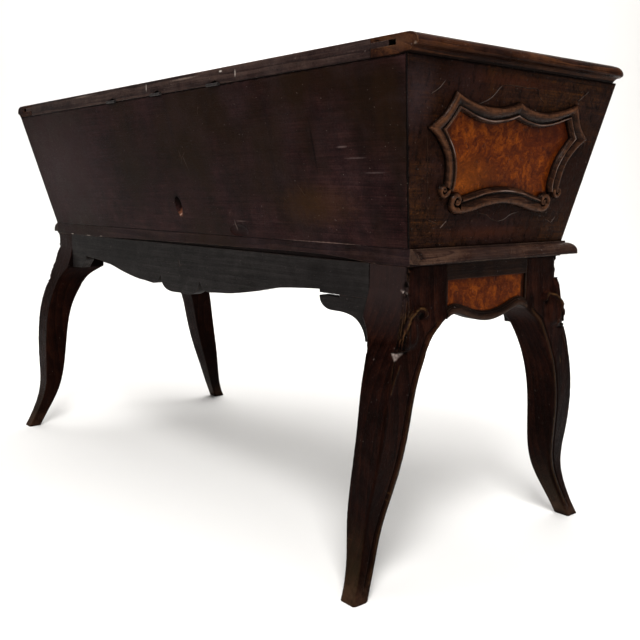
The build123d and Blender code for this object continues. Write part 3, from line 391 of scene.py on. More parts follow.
# ---------------------------------------------------------------- burr panels
# Thin sheets of burr walnut, glued down inside the carved frames of the ends and the
# front and on three of the aprons.
# Scraped and waxed burr veneer: clouded orange-brown, with swirls and eyes about 12 mm
# across, short dark dashes and fine cracks, under a soft sheen.
burr_wood, add = new_material("burr_walnut_veneer")
place = add("TexCoord", out="Object")
base = add("Mapping", {"Vector": place, "Location": (0.4, 0.52, 0.28)})
warp = add("TexNoise", {"Vector": base, "Scale": 19.0, "Detail": 4.0, "Roughness": 0.55}, "Color")
warp = add("VectorMath", [warp, (0.5, 0.5, 0.5)], operation="SUBTRACT")
bent = add("VectorMath", [warp, (0.1, 0.1, 0.1), base], operation="MULTIPLY_ADD")
clouds = {key: add("TexNoise", {
    "Vector": add("Mapping", {"Vector": where, "Scale": stretch, "Rotation": (turn, 0, 0)}),
    "Scale": per_metre, "Detail": detail, "Roughness": rough})
    for key, where, stretch, turn, per_metre, detail, rough in (
        ("figure", bent, (1, 1, 1), 0, 58.0, 5.0, 0.62),
        ("sway", base, (1, 1, 1), 0, 15.0, 3.0, 0.5),
        ("hair", bent, (1, 0.10, 1), 0.75, 380.0, 4.0, 0.65),
        ("dark", base, (1, 1, 1), 0, 13.0, 4.0, 0.6),
        ("dashes", bent, (1, 0.22, 1.8), 0, 260.0, 3.0, 0.6),
        ("dashed", base, (1, 1, 1), 0, 16.0, 3.0, 0.6),
        ("curls", bent, (1, 1, 1), 0, 120.0, 3.0, 0.6),
        ("curled", base, (1, 1, 1), 0, 30.0, 2.0, 0.5),
        ("cracked", base, (1, 1, 1), 0, 38.0, 2.0, 0.5),
        ("uneven", base, (1, 1, 1), 0, 40.0, 2.0, 0.5))}
eyes = add("TexVoronoi", {"Vector": bent, "Scale": 85.0, "Randomness": 1.0}, "Distance",
           feature="SMOOTH_F1")
curls = add("Math", [clouds["curls"], 0.5], operation="SUBTRACT")
curls = add("Math", [curls], operation="ABSOLUTE")
cracks = add("TexVoronoi", {
    "Vector": add("Mapping", {"Vector": bent, "Scale": (1, 0.6, 1.6)}), "Scale": 24.0},
    "Distance", feature="DISTANCE_TO_EDGE")
cracks = add("Math", [
    add("MapRange", [cracks, 0.022, 0.0]), add("MapRange", [clouds["cracked"], 0.55, 0.62])],
    operation="MULTIPLY")
hollow_shade = add("AmbientOcclusion", {"Distance": HOLLOW_SHADE_REACH}, "AO", samples=6)
tone = built_up(add, (
    (0.48, clouds["figure"]), (0.18, clouds["sway"]), (0.34, clouds["hair"]), (0.16, eyes)))
shade = coated(
    add, add("ValToRGB", [tone], stops=((0.43, "#260b03"), (0.57, "#4c1d04"), (0.72, "#7e3c09"))), [
        ("#3c0f04", 0.55, spot(add, place, (-695, -110, 735), (60, 90, 55), 0.9, 0.5)),
        ("#8c4a0c", 0.30, spot(add, place, (-680, 90, 650), (60, 95, 45), 0.9, 0.5)),
        ("#240a04", 0.45, add("MapRange", [clouds["dark"], 0.50, 0.70])),
        ("#1c0702", 0.55, add("MapRange", [clouds["dashes"], 0.58, 0.66]),
         add("MapRange", [clouds["dashed"], 0.44, 0.60])),
        ("#180602", 0.7, add("MapRange", [curls, 0.022, 0.004]),
         add("MapRange", [clouds["curled"], 0.50, 0.62])),
        ("#100402", 0.8, cracks),
        # painted shade: the veneer darker where the frame closes over it, with dark wax there too
        ("#100502", add("MapRange", [hollow_shade, 0.92, 0.40, 0.0, 0.8])),
        # a strip of the left apron's veneer is gone
        ("#0b0402", 0.9, spot(add, place, (-655, -98, 465), (9, 8, 34), 0.3, 0.3))])
bumped = add("Bump", {
    "Height": built_up(add, [(0.5, clouds["hair"]), (-1.0, cracks)], clouds["uneven"]),
    "Strength": 0.5, "Distance": 0.6 * MM})
shader = add("BsdfPrincipled", {
    "Base Color": shade, "Normal": bumped, "Roughness": 0.36,
    "IOR": 1.5, "Specular IOR Level": 0.06, "Specular Tint": colour(WAX_TINT)})
add("OutputMaterial", {"Surface": shader})
dress(burr_wood, "end_burr_panel", "front_burr_panel", "apron_burr")


# ---------------------------------------------------------------- carved cartouches
# Walnut mouldings carved round the burr panels of the ends and the front: a broad
# rounded slope, a groove and a fine bead, mitred at the cusps, that run out into
# curls. They stand for the flat-topped frames of the CAD and are fixed to the boards.
# Carved and waxed walnut, the glossiest wood of the box, with heights painted pale as
# highlight and wear, and cuts painted near black as shade.
carved_wood = wood(
    "walnut_carved", "Y", "#0b0503", "#22120b", "#3f2617", 9.7, bloom="#30231c", worn="#66422c",
    bloom_share=0.08, edge_share=0.3, height_share=0.65, gloss=0.07, roughness=0.27, flecked=0.25)
dress(carved_wood, "end_frame", "end_scroll", "front_frame", "front_scroll")

# how far the end boards and the long boards lean out over the trough's depth
TROUGH_DEPTH = 277.0
lean_end = math.atan2(53.0, TROUGH_DEPTH)
lean_long = math.atan2(66.0, TROUGH_DEPTH)
CARVING_FOOT = 545.0


def new_object(name, data):
    """An object for a mesh, lamp or camera, put in the scene."""
    item = bpy.data.objects.new(name, data)
    bpy.context.scene.collection.objects.link(item)
    return item


def board_place(origin, across, upward, outward, lean):
    """Turns distance across, height above the ground and relief into a point."""
    def at(u, z, h):
        v = (z - CARVING_FOOT) / math.cos(lean)
        return (Vector(origin) + Vector(across) * u + Vector(upward) * v + Vector(outward) * h) * MM
    return at


def through(points, steps=7):
    """A smooth line through points, as many steps between each two."""
    points = [Vector(q) for q in points]
    ends = [points[0] * 2 - points[1]] + points + [points[-1] * 2 - points[-2]]
    line = []
    for k in range(1, len(ends) - 2):
        a, b, c, d = ends[k - 1:k + 3]
        for i in range(steps):
            t = i / steps
            line.append(0.5 * (2 * b + (c - a) * t + (2 * a - 5 * b + 4 * c - d) * t * t
                               + (3 * b - a - 3 * c + d) * t * t * t))
    line.append(points[-1])
    return line


class Carving:
    """Collects the faces of one carved piece, with the light and shade painted on it at every point."""

    def __init__(self, at):
        self.at = at
        self.mesh = bmesh.new()
        self.painted_relief = self.mesh.verts.layers.float.new("painted_relief")
        self.bare_and_glint = self.mesh.verts.layers.float.new("bare_and_glint")
        self.bareness = 0.0

    def vert(self, u, z, h, painted_relief):
        """A point, a little uneven on the heights. Shading above 1 becomes a painted glint in patches."""
        wobble = noise.noise(Vector((u * 0.06, z * 0.06, 3.1))) * 0.35 if h > 1.0 else 0.0
        v = self.mesh.verts.new(self.at(u, z, h + wobble))
        v[self.painted_relief] = min(painted_relief, 1.0)
        glint_patch = min(max(0.3 + 1.6 * noise.noise(Vector((u * 0.035, z * 0.035, 7.7))), 0.1), 1.0)
        v[self.bare_and_glint] = max(self.bareness, max(painted_relief - 1.0, 0.0) * glint_patch)
        return v

    def grid(self, rows):
        """Skins rows of (u, z, h, relief)."""
        made = [[self.vert(*q) for q in row] for row in rows]
        for low, high in zip(made, made[1:]):
            for k in range(len(low) - 1):
                self.mesh.faces.new((low[k], low[k + 1], high[k + 1], high[k]))
        return made

    def finish(self, name, material):
        """Closes the piece, shades it and fixes it to the trough on its stand."""
        bmesh.ops.remove_doubles(self.mesh, verts=self.mesh.verts, dist=0.02 * MM)
        bmesh.ops.recalc_face_normals(self.mesh, faces=self.mesh.faces)
        data = bpy.data.meshes.new(name)
        self.mesh.to_mesh(data)
        self.mesh.free()
        data.materials.append(material)
        item = new_object(name, data)
        with bpy.context.temp_override(
                object=item, active_object=item, selected_objects=[item],
                selected_editable_objects=[item]):
            bpy.ops.object.shade_smooth_by_angle(angle=math.radians(38))
        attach(item, "trough_on_stand")
        return item


# share of the width from the outer side, height in millimetres, and the light and shade
# painted on it: pale heights, a dark lower flank, near-black cuts, and above 1 a painted glint
FRAME_SECTION = [
    (0.0, -1.0, -1.0), (0.0, 2.6, -0.8), (0.03, 5.4, -0.3), (0.09, 7.6, 0.4), (0.18, 8.8, 1.0),
    (0.30, 9.0, 0.7), (0.42, 8.3, 0.0), (0.53, 6.9, -0.35), (0.61, 5.2, -0.6), (0.66, 4.2, -0.9),
    (0.69, 4.1, -0.95), (0.72, 5.2, -0.3), (0.75, 6.3, 0.8), (0.79, 6.9, 1.45), (0.84, 6.5, 0.5),
    (0.89, 5.0, 0.0), (0.93, 3.0, -0.6), (0.96, 2.4, -0.1), (0.98, 1.4, -0.3), (1.0, -3.8, -1.0)]


def band(carving, outer, inner, flip):
    """A moulding between two lines, with the frame's section at every step."""
    carving.grid([[
        (flip * (o.x + (i.x - o.x) * t), o.y + (i.y - o.y) * t, h, r) for t, h, r in FRAME_SECTION]
        for o, i in zip(through(outer), through(inner))])


def curl(carving, centre, start, sweep_angle, radius, tube, height, flip):
    """A carved curl: a rounded roll winding in to an eye, over a low disc."""
    steps = 54
    rows = []
    for k in range(steps + 1):
        share = k / steps
        angle = math.radians(start + sweep_angle * share)
        r = radius[0] + (radius[1] - radius[0]) * share ** 0.85
        w = tube[0] + (tube[1] - tube[0]) * share
        top = height[0] + (height[1] - height[0]) * share
        row = []
        # round the roll: its top painted pale as highlight, its foot near black as shade
        for j in range(9):
            turn = math.pi * j / 8
            reach = r + w * math.cos(turn)
            rounded = top * max(math.sin(turn), 0.0) ** 0.7
            row.append((flip * (centre[0] + reach * math.cos(angle)),
                        centre[1] + reach * math.sin(angle),
                        rounded - 1.0 * (j in (0, 8)), -1.0 if j in (0, 8) else math.sin(turn) ** 2))
        rows.append(row)
    carving.grid(rows)
    for cap in (rows[0], rows[-1]):
        middle = cap[len(cap) // 2]
        carving.grid([cap, [(middle[0], middle[1], -1.0, -1.0)] * len(cap)])
    # a low disc painted dark as shade under the roll, and a boss at the eye painted pale on top
    for outer_radius, top, reach in ((radius[0] * 0.94, 2.0, -1.0), (tube[1] * 1.7, height[1], 1.0)):
        rings = []
        for t, h in ((1.0, -1.0), (1.0, 0.45), (0.9, 0.75), (0.65, 0.95), (0.3, 1.0), (0.0, 1.0)):
            rings.append([(
                flip * (centre[0] + outer_radius * t * math.cos(k * math.pi / 10)),
                centre[1] + outer_radius * t * math.sin(k * math.pi / 10),
                h * top if h > 0 else h, reach if h > 0.8 else -0.8) for k in range(21)])
        carving.grid(rings)


TOP_OUTER = [(0, 774), (12, 769.5), (31, 765), (62, 761.8), (88, 763.3), (112, 767.2), (134, 772.5),
             (153, 779.5)]
TOP_INNER = [(0, 747), (11, 743.5), (27, 739.8), (58, 736), (84, 738.2), (104, 742.5), (122, 748),
             (138, 752)]
HORN_OUTER = [(153, 779.5), (160, 765), (172, 747), (186, 735), (201, 724)]
HORN_INNER = [(138, 752), (143.5, 743), (149, 736), (153, 730), (158, 724)]
SIDE_OUTER = [(201, 724), (184, 714), (168, 700), (155, 684), (149, 668), (146.5, 650), (146, 641)]
SIDE_INNER = [(158, 724), (145, 709), (132.5, 692), (125.5, 676), (122, 660), (121, 644), (124, 632)]
LOW_OUTER = [(-108, 597), (-80, 600), (-45, 608), (0, 613), (45, 608), (80, 600), (108, 597)]
LOW_INNER = [(-99, 624), (-74, 630.5), (-42, 637.5), (0, 640.5), (42, 637.5), (74, 630.5), (99, 624)]

# fine scored lines round the frame: pale where the tool broke the stain, else dark
PALE_SCORES = [
    [(-202.6, 771.8), (-187.2, 781), (-177.5, 792.1)],
    [(-95, 763.9), (-70.3, 774.1), (-52.9, 790.1), (-48, 794.2)],
    [(159.5, 784.6), (185, 802.7)],
    [(2, 583.7), (18.6, 587), (33.9, 595.1), (55.2, 599)],
    [(-136.3, 575.5), (-123.8, 586.9)],
    [(152.2, 578.7), (161.1, 588.9)],
]
DARK_SCORES = [
    [(-48, 794.2), (-28.1, 796.5), (14.5, 795.7), (40.8, 795.9), (49.8, 785), (66, 774.4)],
    [(186, 800.1), (198.7, 787.2), (215.1, 771.5)],
    [(-201.4, 730.1), (-186.7, 668.6), (-169, 594.1)],
    [(-57.2, 599), (-31, 594.6), (-16.3, 587.6), (2, 583.7)],
    [(-167.8, 589), (-143.6, 582.1)],
    [(135.3, 584.9), (152.2, 578.7)],
]


def cartouche(wall, side, at):
    """One carved frame with its curls, and the scored lines round it."""
    carving = Carving(at)
    for flip in (1, -1):
        band(carving, TOP_OUTER, TOP_INNER, flip)
        band(carving, HORN_OUTER, HORN_INNER, flip)
        band(carving, SIDE_OUTER, SIDE_INNER, flip)
        curl(carving, (146, 634), 165, 400, (10.6, 2.6), (4.6, 1.9), (8.6, 6.6), flip)
        curl(carving, (113, 617.5), -120, 440, (14.8, 3.4), (6.2, 2.4), (9.0, 7.0), flip)
    band(carving, LOW_OUTER, LOW_INNER, 1)
    item = carving.finish(f"carved_cartouche_{wall}_{side}", carved_wood)
    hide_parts(f"{wall}_frame_{side}", f"{wall}_scroll_{side}")

    cuts = Carving(at)
    for scores, bareness, half in ((PALE_SCORES, 0.24, 0.65), (DARK_SCORES, 0.0, 1.1)):
        cuts.bareness = bareness
        for line in scores:
            points = through(line, 5)
            rows = []
            for k, q in enumerate(points):
                ahead_of = points[min(k + 1, len(points) - 1)] - points[max(k - 1, 0)]
                aside = Vector((-ahead_of.y, ahead_of.x)).normalized()
                fade = min(1.0, 4.0 * min(k + 0.3, len(points) - 0.7 - k) / len(points))
                reach = half * (0.35 + 0.65 * fade)
                # the groove painted near black as shade, one lip pale as a painted highlight with wear
                rows.append([(q.x + aside.x * o * reach, q.y + aside.y * o * reach, h, r)
                             for o, h, r in ((-1.0, -0.1, -1.0), (-0.5, 0.12, -1.0),
                                             (0.1, 0.12, -1.0), (0.45, 0.35, 1.0), (1.0, -0.1, 0.8))])
                if bareness:
                    rows[-1] = [(u, z, h * 2, 0.0) for u, z, h, r in rows[-1]]
            cuts.grid(rows)
    lines = cuts.finish(f"incised_lines_{wall}_{side}", carved_wood)


for side, name in ((-1, "left"), (1, "right")):
    cartouche("end", name, board_place(
        (side * 662, -4, CARVING_FOOT), (0, side, 0),
        (side * math.sin(lean_end), 0, math.cos(lean_end)),
        (side * math.cos(lean_end), 0, -math.sin(lean_end)), lean_end))
    cartouche("front", name, board_place(
        (side * 330, -200, CARVING_FOOT), (1, 0, 0),
        (0, -math.sin(lean_long), math.cos(lean_long)),
        (0, -math.cos(lean_long), -math.sin(lean_long)), lean_long))


# ---------------------------------------------------------------- carved legs
# Walnut legs with the marks of the carver: a leaf and a curl on each knee, a bead
# down the inner edge of the end face, and softened arrises. Each starts as a fine
# skin over the CAD leg, whose surface is then cut in and raised.
# Carved walnut under dark wax: nearly black and dull, painted darker downwards as
# shade, faded and scuffed at the feet.
POST_JOINTS = [((1, 0, 0), (-572, 0, 0), 0.5, 0.8), ((1, 0, 0), (572, 0, 0), 0.5, 0.8)]
leg_wood = wood(
    "walnut_leg", "Z", "#040100", "#120503", "#29130b", 8.9, bloom="#231413", bloom_share=0.3,
    edge_share=0.40, foot_dark=0.6, ring_share=0.10, seams=POST_JOINTS, worn="#70512f",
    height_share=0.5, gloss=0.022, flecked=0.2)
dress(leg_wood, "leg_")

# cells of the skin, and the outer corner of the posts
SKIN_FINE = 1.5 * MM
POST_CORNER = (660, 192)


def line_field(s, z, points, width):
    """Closeness to a line in the unrolled surface: 1 on it, falling to 0."""
    best = np.full(s.shape, 1e9)
    for (s0, z0), (s1, z1) in zip(points, points[1:]):
        ds, dz = s1 - s0, z1 - z0
        t = np.clip(((s - s0) * ds + (z - z0) * dz) / (ds * ds + dz * dz), 0, 1)
        best = np.minimum(best, np.hypot(s - s0 - ds * t, z - z0 - dz * t))
    return np.exp(-(best / width) ** 2)


def smooth_step(value, low, high):
    """0 below low and 1 above high, with a soft rise between."""
    t = np.clip((value - low) / (high - low), 0, 1)
    return t * t * (3 - 2 * t)


def edge_by_height(z, value, keep, pick):
    """The furthest value at each height, smoothed, as a function of height."""
    bins = np.arange(0, 522, 4.0)
    found = []
    for low in bins:
        here = keep & (z >= low - 3) & (z < low + 7)
        found.append(pick(value[here]) if here.any() else np.nan)
    found = np.array(found)
    known = ~np.isnan(found)
    found = np.interp(bins, bins[known], found[known])
    found = np.convolve(np.pad(found, 2, mode="edge"), np.ones(5) / 5, mode="valid")
    return lambda height: np.interp(height, bins + 2, found)


# lines on the knee: distance round the corner, above 0 on the long side, and height
STEM = [(-5, 409), (-6, 419), (-8, 430), (-12, 439), (-20, 447.5), (-28, 451), (-37, 450),
        (-42.5, 446.5), (-46.5, 441)]
VEINS = [
    [(9.5, 474), (7.5, 452), (4, 424), (2, 392)],
    [(5, 476), (3.5, 450), (-1, 424), (-5, 392)],
    [(0.5, 470), (-2.5, 450), (-5.5, 424), (-13, 392)]]
LEAF_HEIGHTS = (389, 399, 407, 424, 442, 455, 475)
LEAF_LONG_SIDE = (5, 5.2, 5.7, 6.7, 9, 10.8, 13.4)
LEAF_END_SIDE = (-25, -22, -19, -13.8, -8, -5.3, -0.2)
HOLLOW = [(2, 394), (-18, 394), (-8, 408)]
UNDERCUT = [(9, 387.2), (-24, 386)]
GROOVE = [(-4, 376), (-5, 366), (-7, 342)]
RIB = [(-15, 368), (-10.6, 350), (-6.3, 327)]
HACKED = [(-3, 520), (1.7, 497), (5.4, 483), (3, 476)]
CHIPS = [
    [(-2.2, 375.4), (-17.4, 386.6), (9.8, 387.2)],
    [(11.4, 476.4), (9.4, 480.2), (16.2, 480.8)],
    [(3.8, 474.8), (1.6, 478.2), (7.0, 478.9)]]


def inside(s, z, corners, soft):
    """1 inside a three-cornered outline given low corner first, fading at its edge."""
    share = np.ones(s.shape)
    for (s0, z0), (s1, z1) in zip(corners, corners[1:] + corners[:1]):
        away = ((s - s0) * (z1 - z0) - (z - z0) * (s1 - s0)) / math.hypot(s1 - s0, z1 - z0)
        share = np.minimum(share, smooth_step(away, -soft, soft))
    return share


def finish_with(item, kind, **settings):
    """Adds a modifier and applies it."""
    modifier = item.modifiers.new(kind.lower(), kind)
    for key, value in settings.items():
        setattr(modifier, key, value)
    with bpy.context.temp_override(object=item, active_object=item, selected_objects=[item]):
        bpy.ops.object.modifier_apply(modifier=modifier.name)


def carved_leg(name):
    """A fine skin over one CAD leg, carved at the knee, that stands for it."""
    work = bmesh.new()
    work.from_mesh(nodes[name].data)
    bmesh.ops.remove_doubles(work, verts=work.verts, dist=0.01 * MM)
    data = bpy.data.meshes.new("carved_" + name)
    work.to_mesh(data)
    work.free()
    item = new_object("carved_" + name, data)
    finish_with(item, "REMESH", mode="VOXEL", voxel_size=SKIN_FINE)
    # the knee is eased more, so that only the carving below shows on it
    knee = item.vertex_groups.new(name="knee")
    corner = [v.index for v in item.data.vertices
              if 0.378 < v.co.z < 0.486 and abs(v.co.x) > 0.6 and abs(v.co.y) > 0.15]
    knee.add(corner, 1.0, "REPLACE")
    finish_with(item, "SMOOTH", factor=0.5, iterations=2)
    finish_with(item, "SMOOTH", factor=0.5, iterations=30, vertex_group="knee")
    item.vertex_groups.clear()
    data = item.data
    count = len(data.vertices)
    co = np.empty(count * 3, np.float64)
    data.vertices.foreach_get("co", co)
    co = co.reshape(-1, 3)
    out = np.empty(count * 3, np.float64)
    data.vertices.foreach_get("normal", out)
    out = out.reshape(-1, 3)

    # distances in millimetres from the knee's corner, and s round it: above 0 on the long side
    side = np.sign([co[:, 0].mean(), co[:, 1].mean()])
    a = side[0] * co[:, 0] * 1000 - POST_CORNER[0]
    b = side[1] * co[:, 1] * 1000 - POST_CORNER[1]
    z = co[:, 2] * 1000
    out_a, out_b = side[0] * out[:, 0], side[1] * out[:, 1]
    on_end = smooth_step(out_a, 0.55, 0.85)
    on_long = smooth_step(out_b, 0.45, 0.8)
    corner_a = edge_by_height(z, a, out_a > 0.85, np.max)(z)
    corner_b = edge_by_height(z, b, out_b > 0.75, np.max)(z)
    s = (corner_a - a) - (corner_b - b)
    outer = np.clip(on_end + on_long + smooth_step(out_a + out_b, 0.9, 1.2), 0, 1)

    raised = np.zeros(count)
    painted_relief = np.zeros(count)
    bare_and_glint = np.zeros(count)
    rough = np.array([noise.noise(Vector(q * 90.0)) for q in co])
    torn = np.array([noise.noise(Vector(q * 210.0)) if q[2] > 0.36 else 0.0 for q in co])
    s = s + 1.4 * torn
    long_side = np.interp(z, LEAF_HEIGHTS, LEAF_LONG_SIDE)
    end_side = np.interp(z, LEAF_HEIGHTS, LEAF_END_SIDE)
    leaf = outer * smooth_step(s, end_side - 6, end_side + 4)
    leaf *= 1 - smooth_step(s, long_side - 1.4, long_side + 1.4)
    leaf *= smooth_step(z, 387.5, 390) * (1 - smooth_step(z, 474, 482))
    raised += 2.8 * leaf

    # each cut or rib: line, width, how far it raises the wood, the light or shade painted
    # on it, where
    worked = [(line, 2.1, -3.4, -0.8, leaf) for line in VEINS]
    worked += [([(q + 2.9, w) for q, w in line], 1.9, 0.0, 0.55, leaf) for line in VEINS]
    worked += [(HOLLOW, 7.0, -2.2, -0.6, leaf), (UNDERCUT, 1.5, -1.4, -1.3, outer),
               (GROOVE, 1.7, -1.8, -1.1, outer), (RIB, 2.4, 1.3, 0.55, outer)]
    for line, width, lift, shading, where in worked:
        closeness = line_field(s, z, line, width) * where
        raised += lift * closeness
        painted_relief += shading * closeness
    # painted shade along the leaf's edge on the long side
    step = outer * np.exp(-((s - long_side) / 1.8) ** 2) * smooth_step(z, 388, 392)
    painted_relief -= 0.7 * step * (1 - smooth_step(z, 470, 480))
    # the stem of the curl stands up, painted pale on its ridge as highlight
    stem = line_field(s, z, STEM, 3.3) * outer
    raised += 4.6 * stem
    painted_relief += 0.85 * stem ** 1.6
    beside = line_field(s, z, [(q + 5.2, w + 0.5) for q, w in STEM[:5]], 1.6) * outer
    beside = np.maximum(beside, line_field(s, z, [(q - 5.4, w - 2.5) for q, w in STEM[:4]], 1.8) * outer)
    raised -= 2.0 * beside
    painted_relief -= 0.5 * beside
    # the curl's eye is cut in and painted dark as shade
    eye = np.exp(-(((s + 39) / 6.6) ** 2 + ((z - 439.0) / 7.0) ** 2)) * on_end
    raised -= 4.4 * eye
    painted_relief -= 1.5 * eye

    # the outer corner of the post is hacked, and painted dark in the hack as shade; three
    # chips break the near knee
    hacked = line_field(s, z, HACKED, 6.4) * outer
    raised -= hacked * (3.2 + 3.4 * rough + 2.5 * torn)
    painted_relief -= hacked * (0.9 + 1.4 * rough + 2.0 * torn)
    if name == "leg_back_left":
        for corners in CHIPS:
            chip = inside(s, z, corners, 0.7) * outer
            raised -= 1.1 * chip
            painted_relief *= 1 - chip
            bare_and_glint = np.maximum(bare_and_glint, chip * (0.34 + 0.5 * rough + 0.4 * torn))

    # the bead along the inner edge of the end face, with a quirk beside it; the bead's round
    # is painted pale as highlight and the quirk dark as shade
    inner_line = edge_by_height(z, b, (out_a > 0.85) & (z < 428), np.min)
    slope = (inner_line(z + 6) - inner_line(z - 6)) / 12
    across = (b - inner_line(z)) / np.sqrt(1 + slope ** 2)
    run = on_end * smooth_step(z, 14, 30) * (1 - smooth_step(z, 424, 436))
    bead = np.sin(np.clip((across - 1.5) / 10.0, 0, 1) * math.pi) ** 0.6
    quirk = np.exp(-((across - 13.2) / 1.5) ** 2)
    raised += run * (1.3 * bead - 1.8 * quirk)
    painted_relief += run * (0.5 * bead * (across > 3) * (across < 10) - 0.9 * quirk)

    raised += 0.3 * rough * outer
    co += out * (raised * MM)[:, None]
    co = np.clip(co, list(cad_low), list(cad_high))
    data.vertices.foreach_set("co", co.ravel())
    for key, values in (("painted_relief", np.clip(painted_relief, -1, 1)), ("bare_and_glint", np.clip(bare_and_glint, 0, 1))):
        layer = data.attributes.new(key, "FLOAT", "POINT")
        layer.data.foreach_set("value", values.astype(np.float32))
    data.update()
    data.shade_smooth()
    data.materials.clear()
    data.materials.append(leg_wood)
    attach(item, "trough_on_stand")
    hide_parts(name)
    return item


for name in ("leg_back_left", "leg_back_right", "leg_front_left", "leg_front_right"):
    carved_leg(name)


# ---------------------------------------------------------------- aprons and beads
# Scalloped walnut boards between the posts, with shaped ears glued in the corners of
# the long ones. The end aprons have a rounded bead along the lower edge, worked in the
# solid with a quirk above it. It lies over the CAD's flat bead and follows its edge.
# The long aprons are greyish with dust in the wax, and dull.
apron_long = wood(
    "walnut_long_apron", "X", "#0a0909", "#191716", "#2a2726", 6.1, bloom="#2e2b2b",
    bloom_share=0.5, edge_share=0.35, ring_share=0.08, seams=POST_JOINTS,
    marks=[
        ("#0b0909", 0.5, (-490, 192, 480), (170, 70, 80), 0.9, 0.4),
    ])
dress(apron_long, "apron_back", "apron_front", "ear_")

# The end aprons are nearly black, with a dark reddish body and little wear.
apron_cross = wood(
    "walnut_end_apron", "Y", "#080302", "#150a06", "#28170e", 7.7, bloom="#241813",
    edge_share=0.4)
dress(apron_cross, "apron_left", "apron_right")

APRON_FACE = 662.5
EDGE_GUIDE = through([(-104, 429), (-81, 436), (-54, 428.8), (0, 418), (54, 428.8), (81, 436),
                      (104, 429)], 6)
# across the edge in millimetres, height, and the light and shade painted on it: pale on the bead's round,
# near black in the quirk
BEAD_SECTION = [
    (-0.2, -2.4, -1.0), (0.0, -0.4, 0.0), (0.6, 0.9, 0.6), (2.2, 1.9, 1.0), (4.6, 2.5, 0.8),
    (7.0, 2.4, 0.5), (9.2, 1.7, 0.1), (11.0, 0.5, -0.7), (11.8, -0.6, -1.0), (12.6, 0.3, -0.4),
    (13.2, 0.25, 0.3), (13.4, -2.4, -1.0)]
guide_y = [q.x for q in EDGE_GUIDE]
guide_z = [q.y for q in EDGE_GUIDE]
for side, name in ((-1, "left"), (1, "right")):
    edge = sorted({
        (round(v.co.y * 1000, 2), round(v.co.z * 1000, 2)) for v in nodes["apron_" + name].data.vertices
        if abs(abs(v.co.x) * 1000 - APRON_FACE) < 0.05
        and abs(v.co.z * 1000 - np.interp(v.co.y * 1000, guide_y, guide_z)) < 5})
    bead = Carving(lambda u, z, h, side=side: Vector((side * (APRON_FACE + h), u, z)) * MM)
    bead.grid([[(y, z + t, h, r) for t, h, r in BEAD_SECTION] for y, z in edge])
    item = bead.finish("apron_bead_" + name, apron_cross)


# ---------------------------------------------------------------- lid
# Three walnut planks along the lid, tongued and grooved, and a grooved cleat across
# each end with a moulded outer edge.
CLEAT_JOINTS = [((1, 0, 0), (-639, 0, 0), 0.5, 0.8), ((1, 0, 0), (639, 0, 0), 0.5, 0.8)]

# Planed and waxed walnut with worn edges: grey-brown, with pale chips and dark dents
# along the back edge.
lid_long = wood(
    "walnut_lid_plank", "X", "#0d0707", "#261a18", "#44342e", 4.1, edge_share=0.75, worn="#7b6254",
    bloom="#37302f",
    marks=[
        ("#c2b5ab", 0.75, (28, 258, 839), (1.6, 12, 9), 0.5, 0.6),
        ("#b8aaa0", 0.7, (-293, 258, 836), (2.0, 12, 8), 0.5, 0.6),
        ("#cfc4ba", 0.8, (-247, 258, 844), (6, 12, 2.4), 0.5, 0.9),
        ("#8d7a6e", 0.5, (-120, 258, 843), (60, 12, 2.2), 0.5, 1.0),
        ("#8d7a6e", 0.45, (330, 258, 845), (70, 12, 2.0), 0.5, 1.0),
        ("#17100e", 0.5, (-470, 258, 834), (90, 12, 7), 0.8, 0.8),
    ],
    seams=CLEAT_JOINTS)
dress(lid_long, "lid_plank")

# Cleats of redder walnut, dull, with painted shadow below the moulded edge, and a pale worn corner at the
# back.
lid_cross = wood(
    "walnut_lid_cleat", "Y", "#0d0503", "#28150c", "#482a17", 5.3, edge_share=0.75, worn="#7b5639",
    gloss=0.018, roughness=0.34, bloom_share=0.2,
    marks=[
        # painted shadow under each cleat's overhanging edge and its lower moulding
        ("#040202", 0.9, (-716, 0, 821), (26, 900, 5), 0.3),
        ("#040202", 0.9, (716, 0, 821), (26, 900, 5), 0.3),
        ("#040202", 0.85, (-729, 0, 826), (11, 420, 8.5)),
        ("#040202", 0.85, (729, 0, 826), (11, 420, 8.5)),
        ("#6b4a35", 0.35, (-690, 258, 838), (44, 12, 14), 0.9, 1.0),
        ("#050302", 0.9, (-653, 258, 845), (9, 12, 1.6)),
        ("#080403", 0.8, (-655, 258, 837.5), (16, 12, 1.3), 0.5, 0.6),
        ("#8d7a6b", 0.4, (-729, 262, 833), (4, 12, 3), 0.5, 0.8),
    ],
    seams=CLEAT_JOINTS)
dress(lid_cross, "lid_cleat")


# ---------------------------------------------------------------- hinges and nails
# Three small butt hinges with pins and screws, let in flush between the back board and
# the lid, and the nails of the bottom boards and battens.
# Old forged iron: dark brown scale with dull rust in patches about 6 mm across, over a
# grit of about 1 mm.
iron, add = new_material("old_iron")
place = add("TexCoord", out="Object")
patches = add("TexNoise", {"Vector": place, "Scale": 160.0, "Detail": 5.0, "Roughness": 0.65})
patches = add("MapRange", [patches, 0.42, 0.62])
grit = add("TexNoise", {"Vector": place, "Scale": 900.0, "Detail": 3.0, "Roughness": 0.6})
bumped = add("Bump", {"Height": grit, "Strength": 0.6, "Distance": 0.3 * MM})
shader = add("BsdfPrincipled", {
    "Base Color": coated(add, colour("#0d0b0a"), [("#24140d", patches), ("#120d0b", 0.5, grit)]),
    "Metallic": add("MapRange", [patches, 0.0, 1.0, 0.4, 0.0]),
    "Roughness": add("MapRange", [patches, 0.0, 1.0, 0.48, 0.85]),
    "Normal": bumped})
add("OutputMaterial", {"Surface": shader})
dress(iron, "hinge_", "floor_nails", "batten_nails")


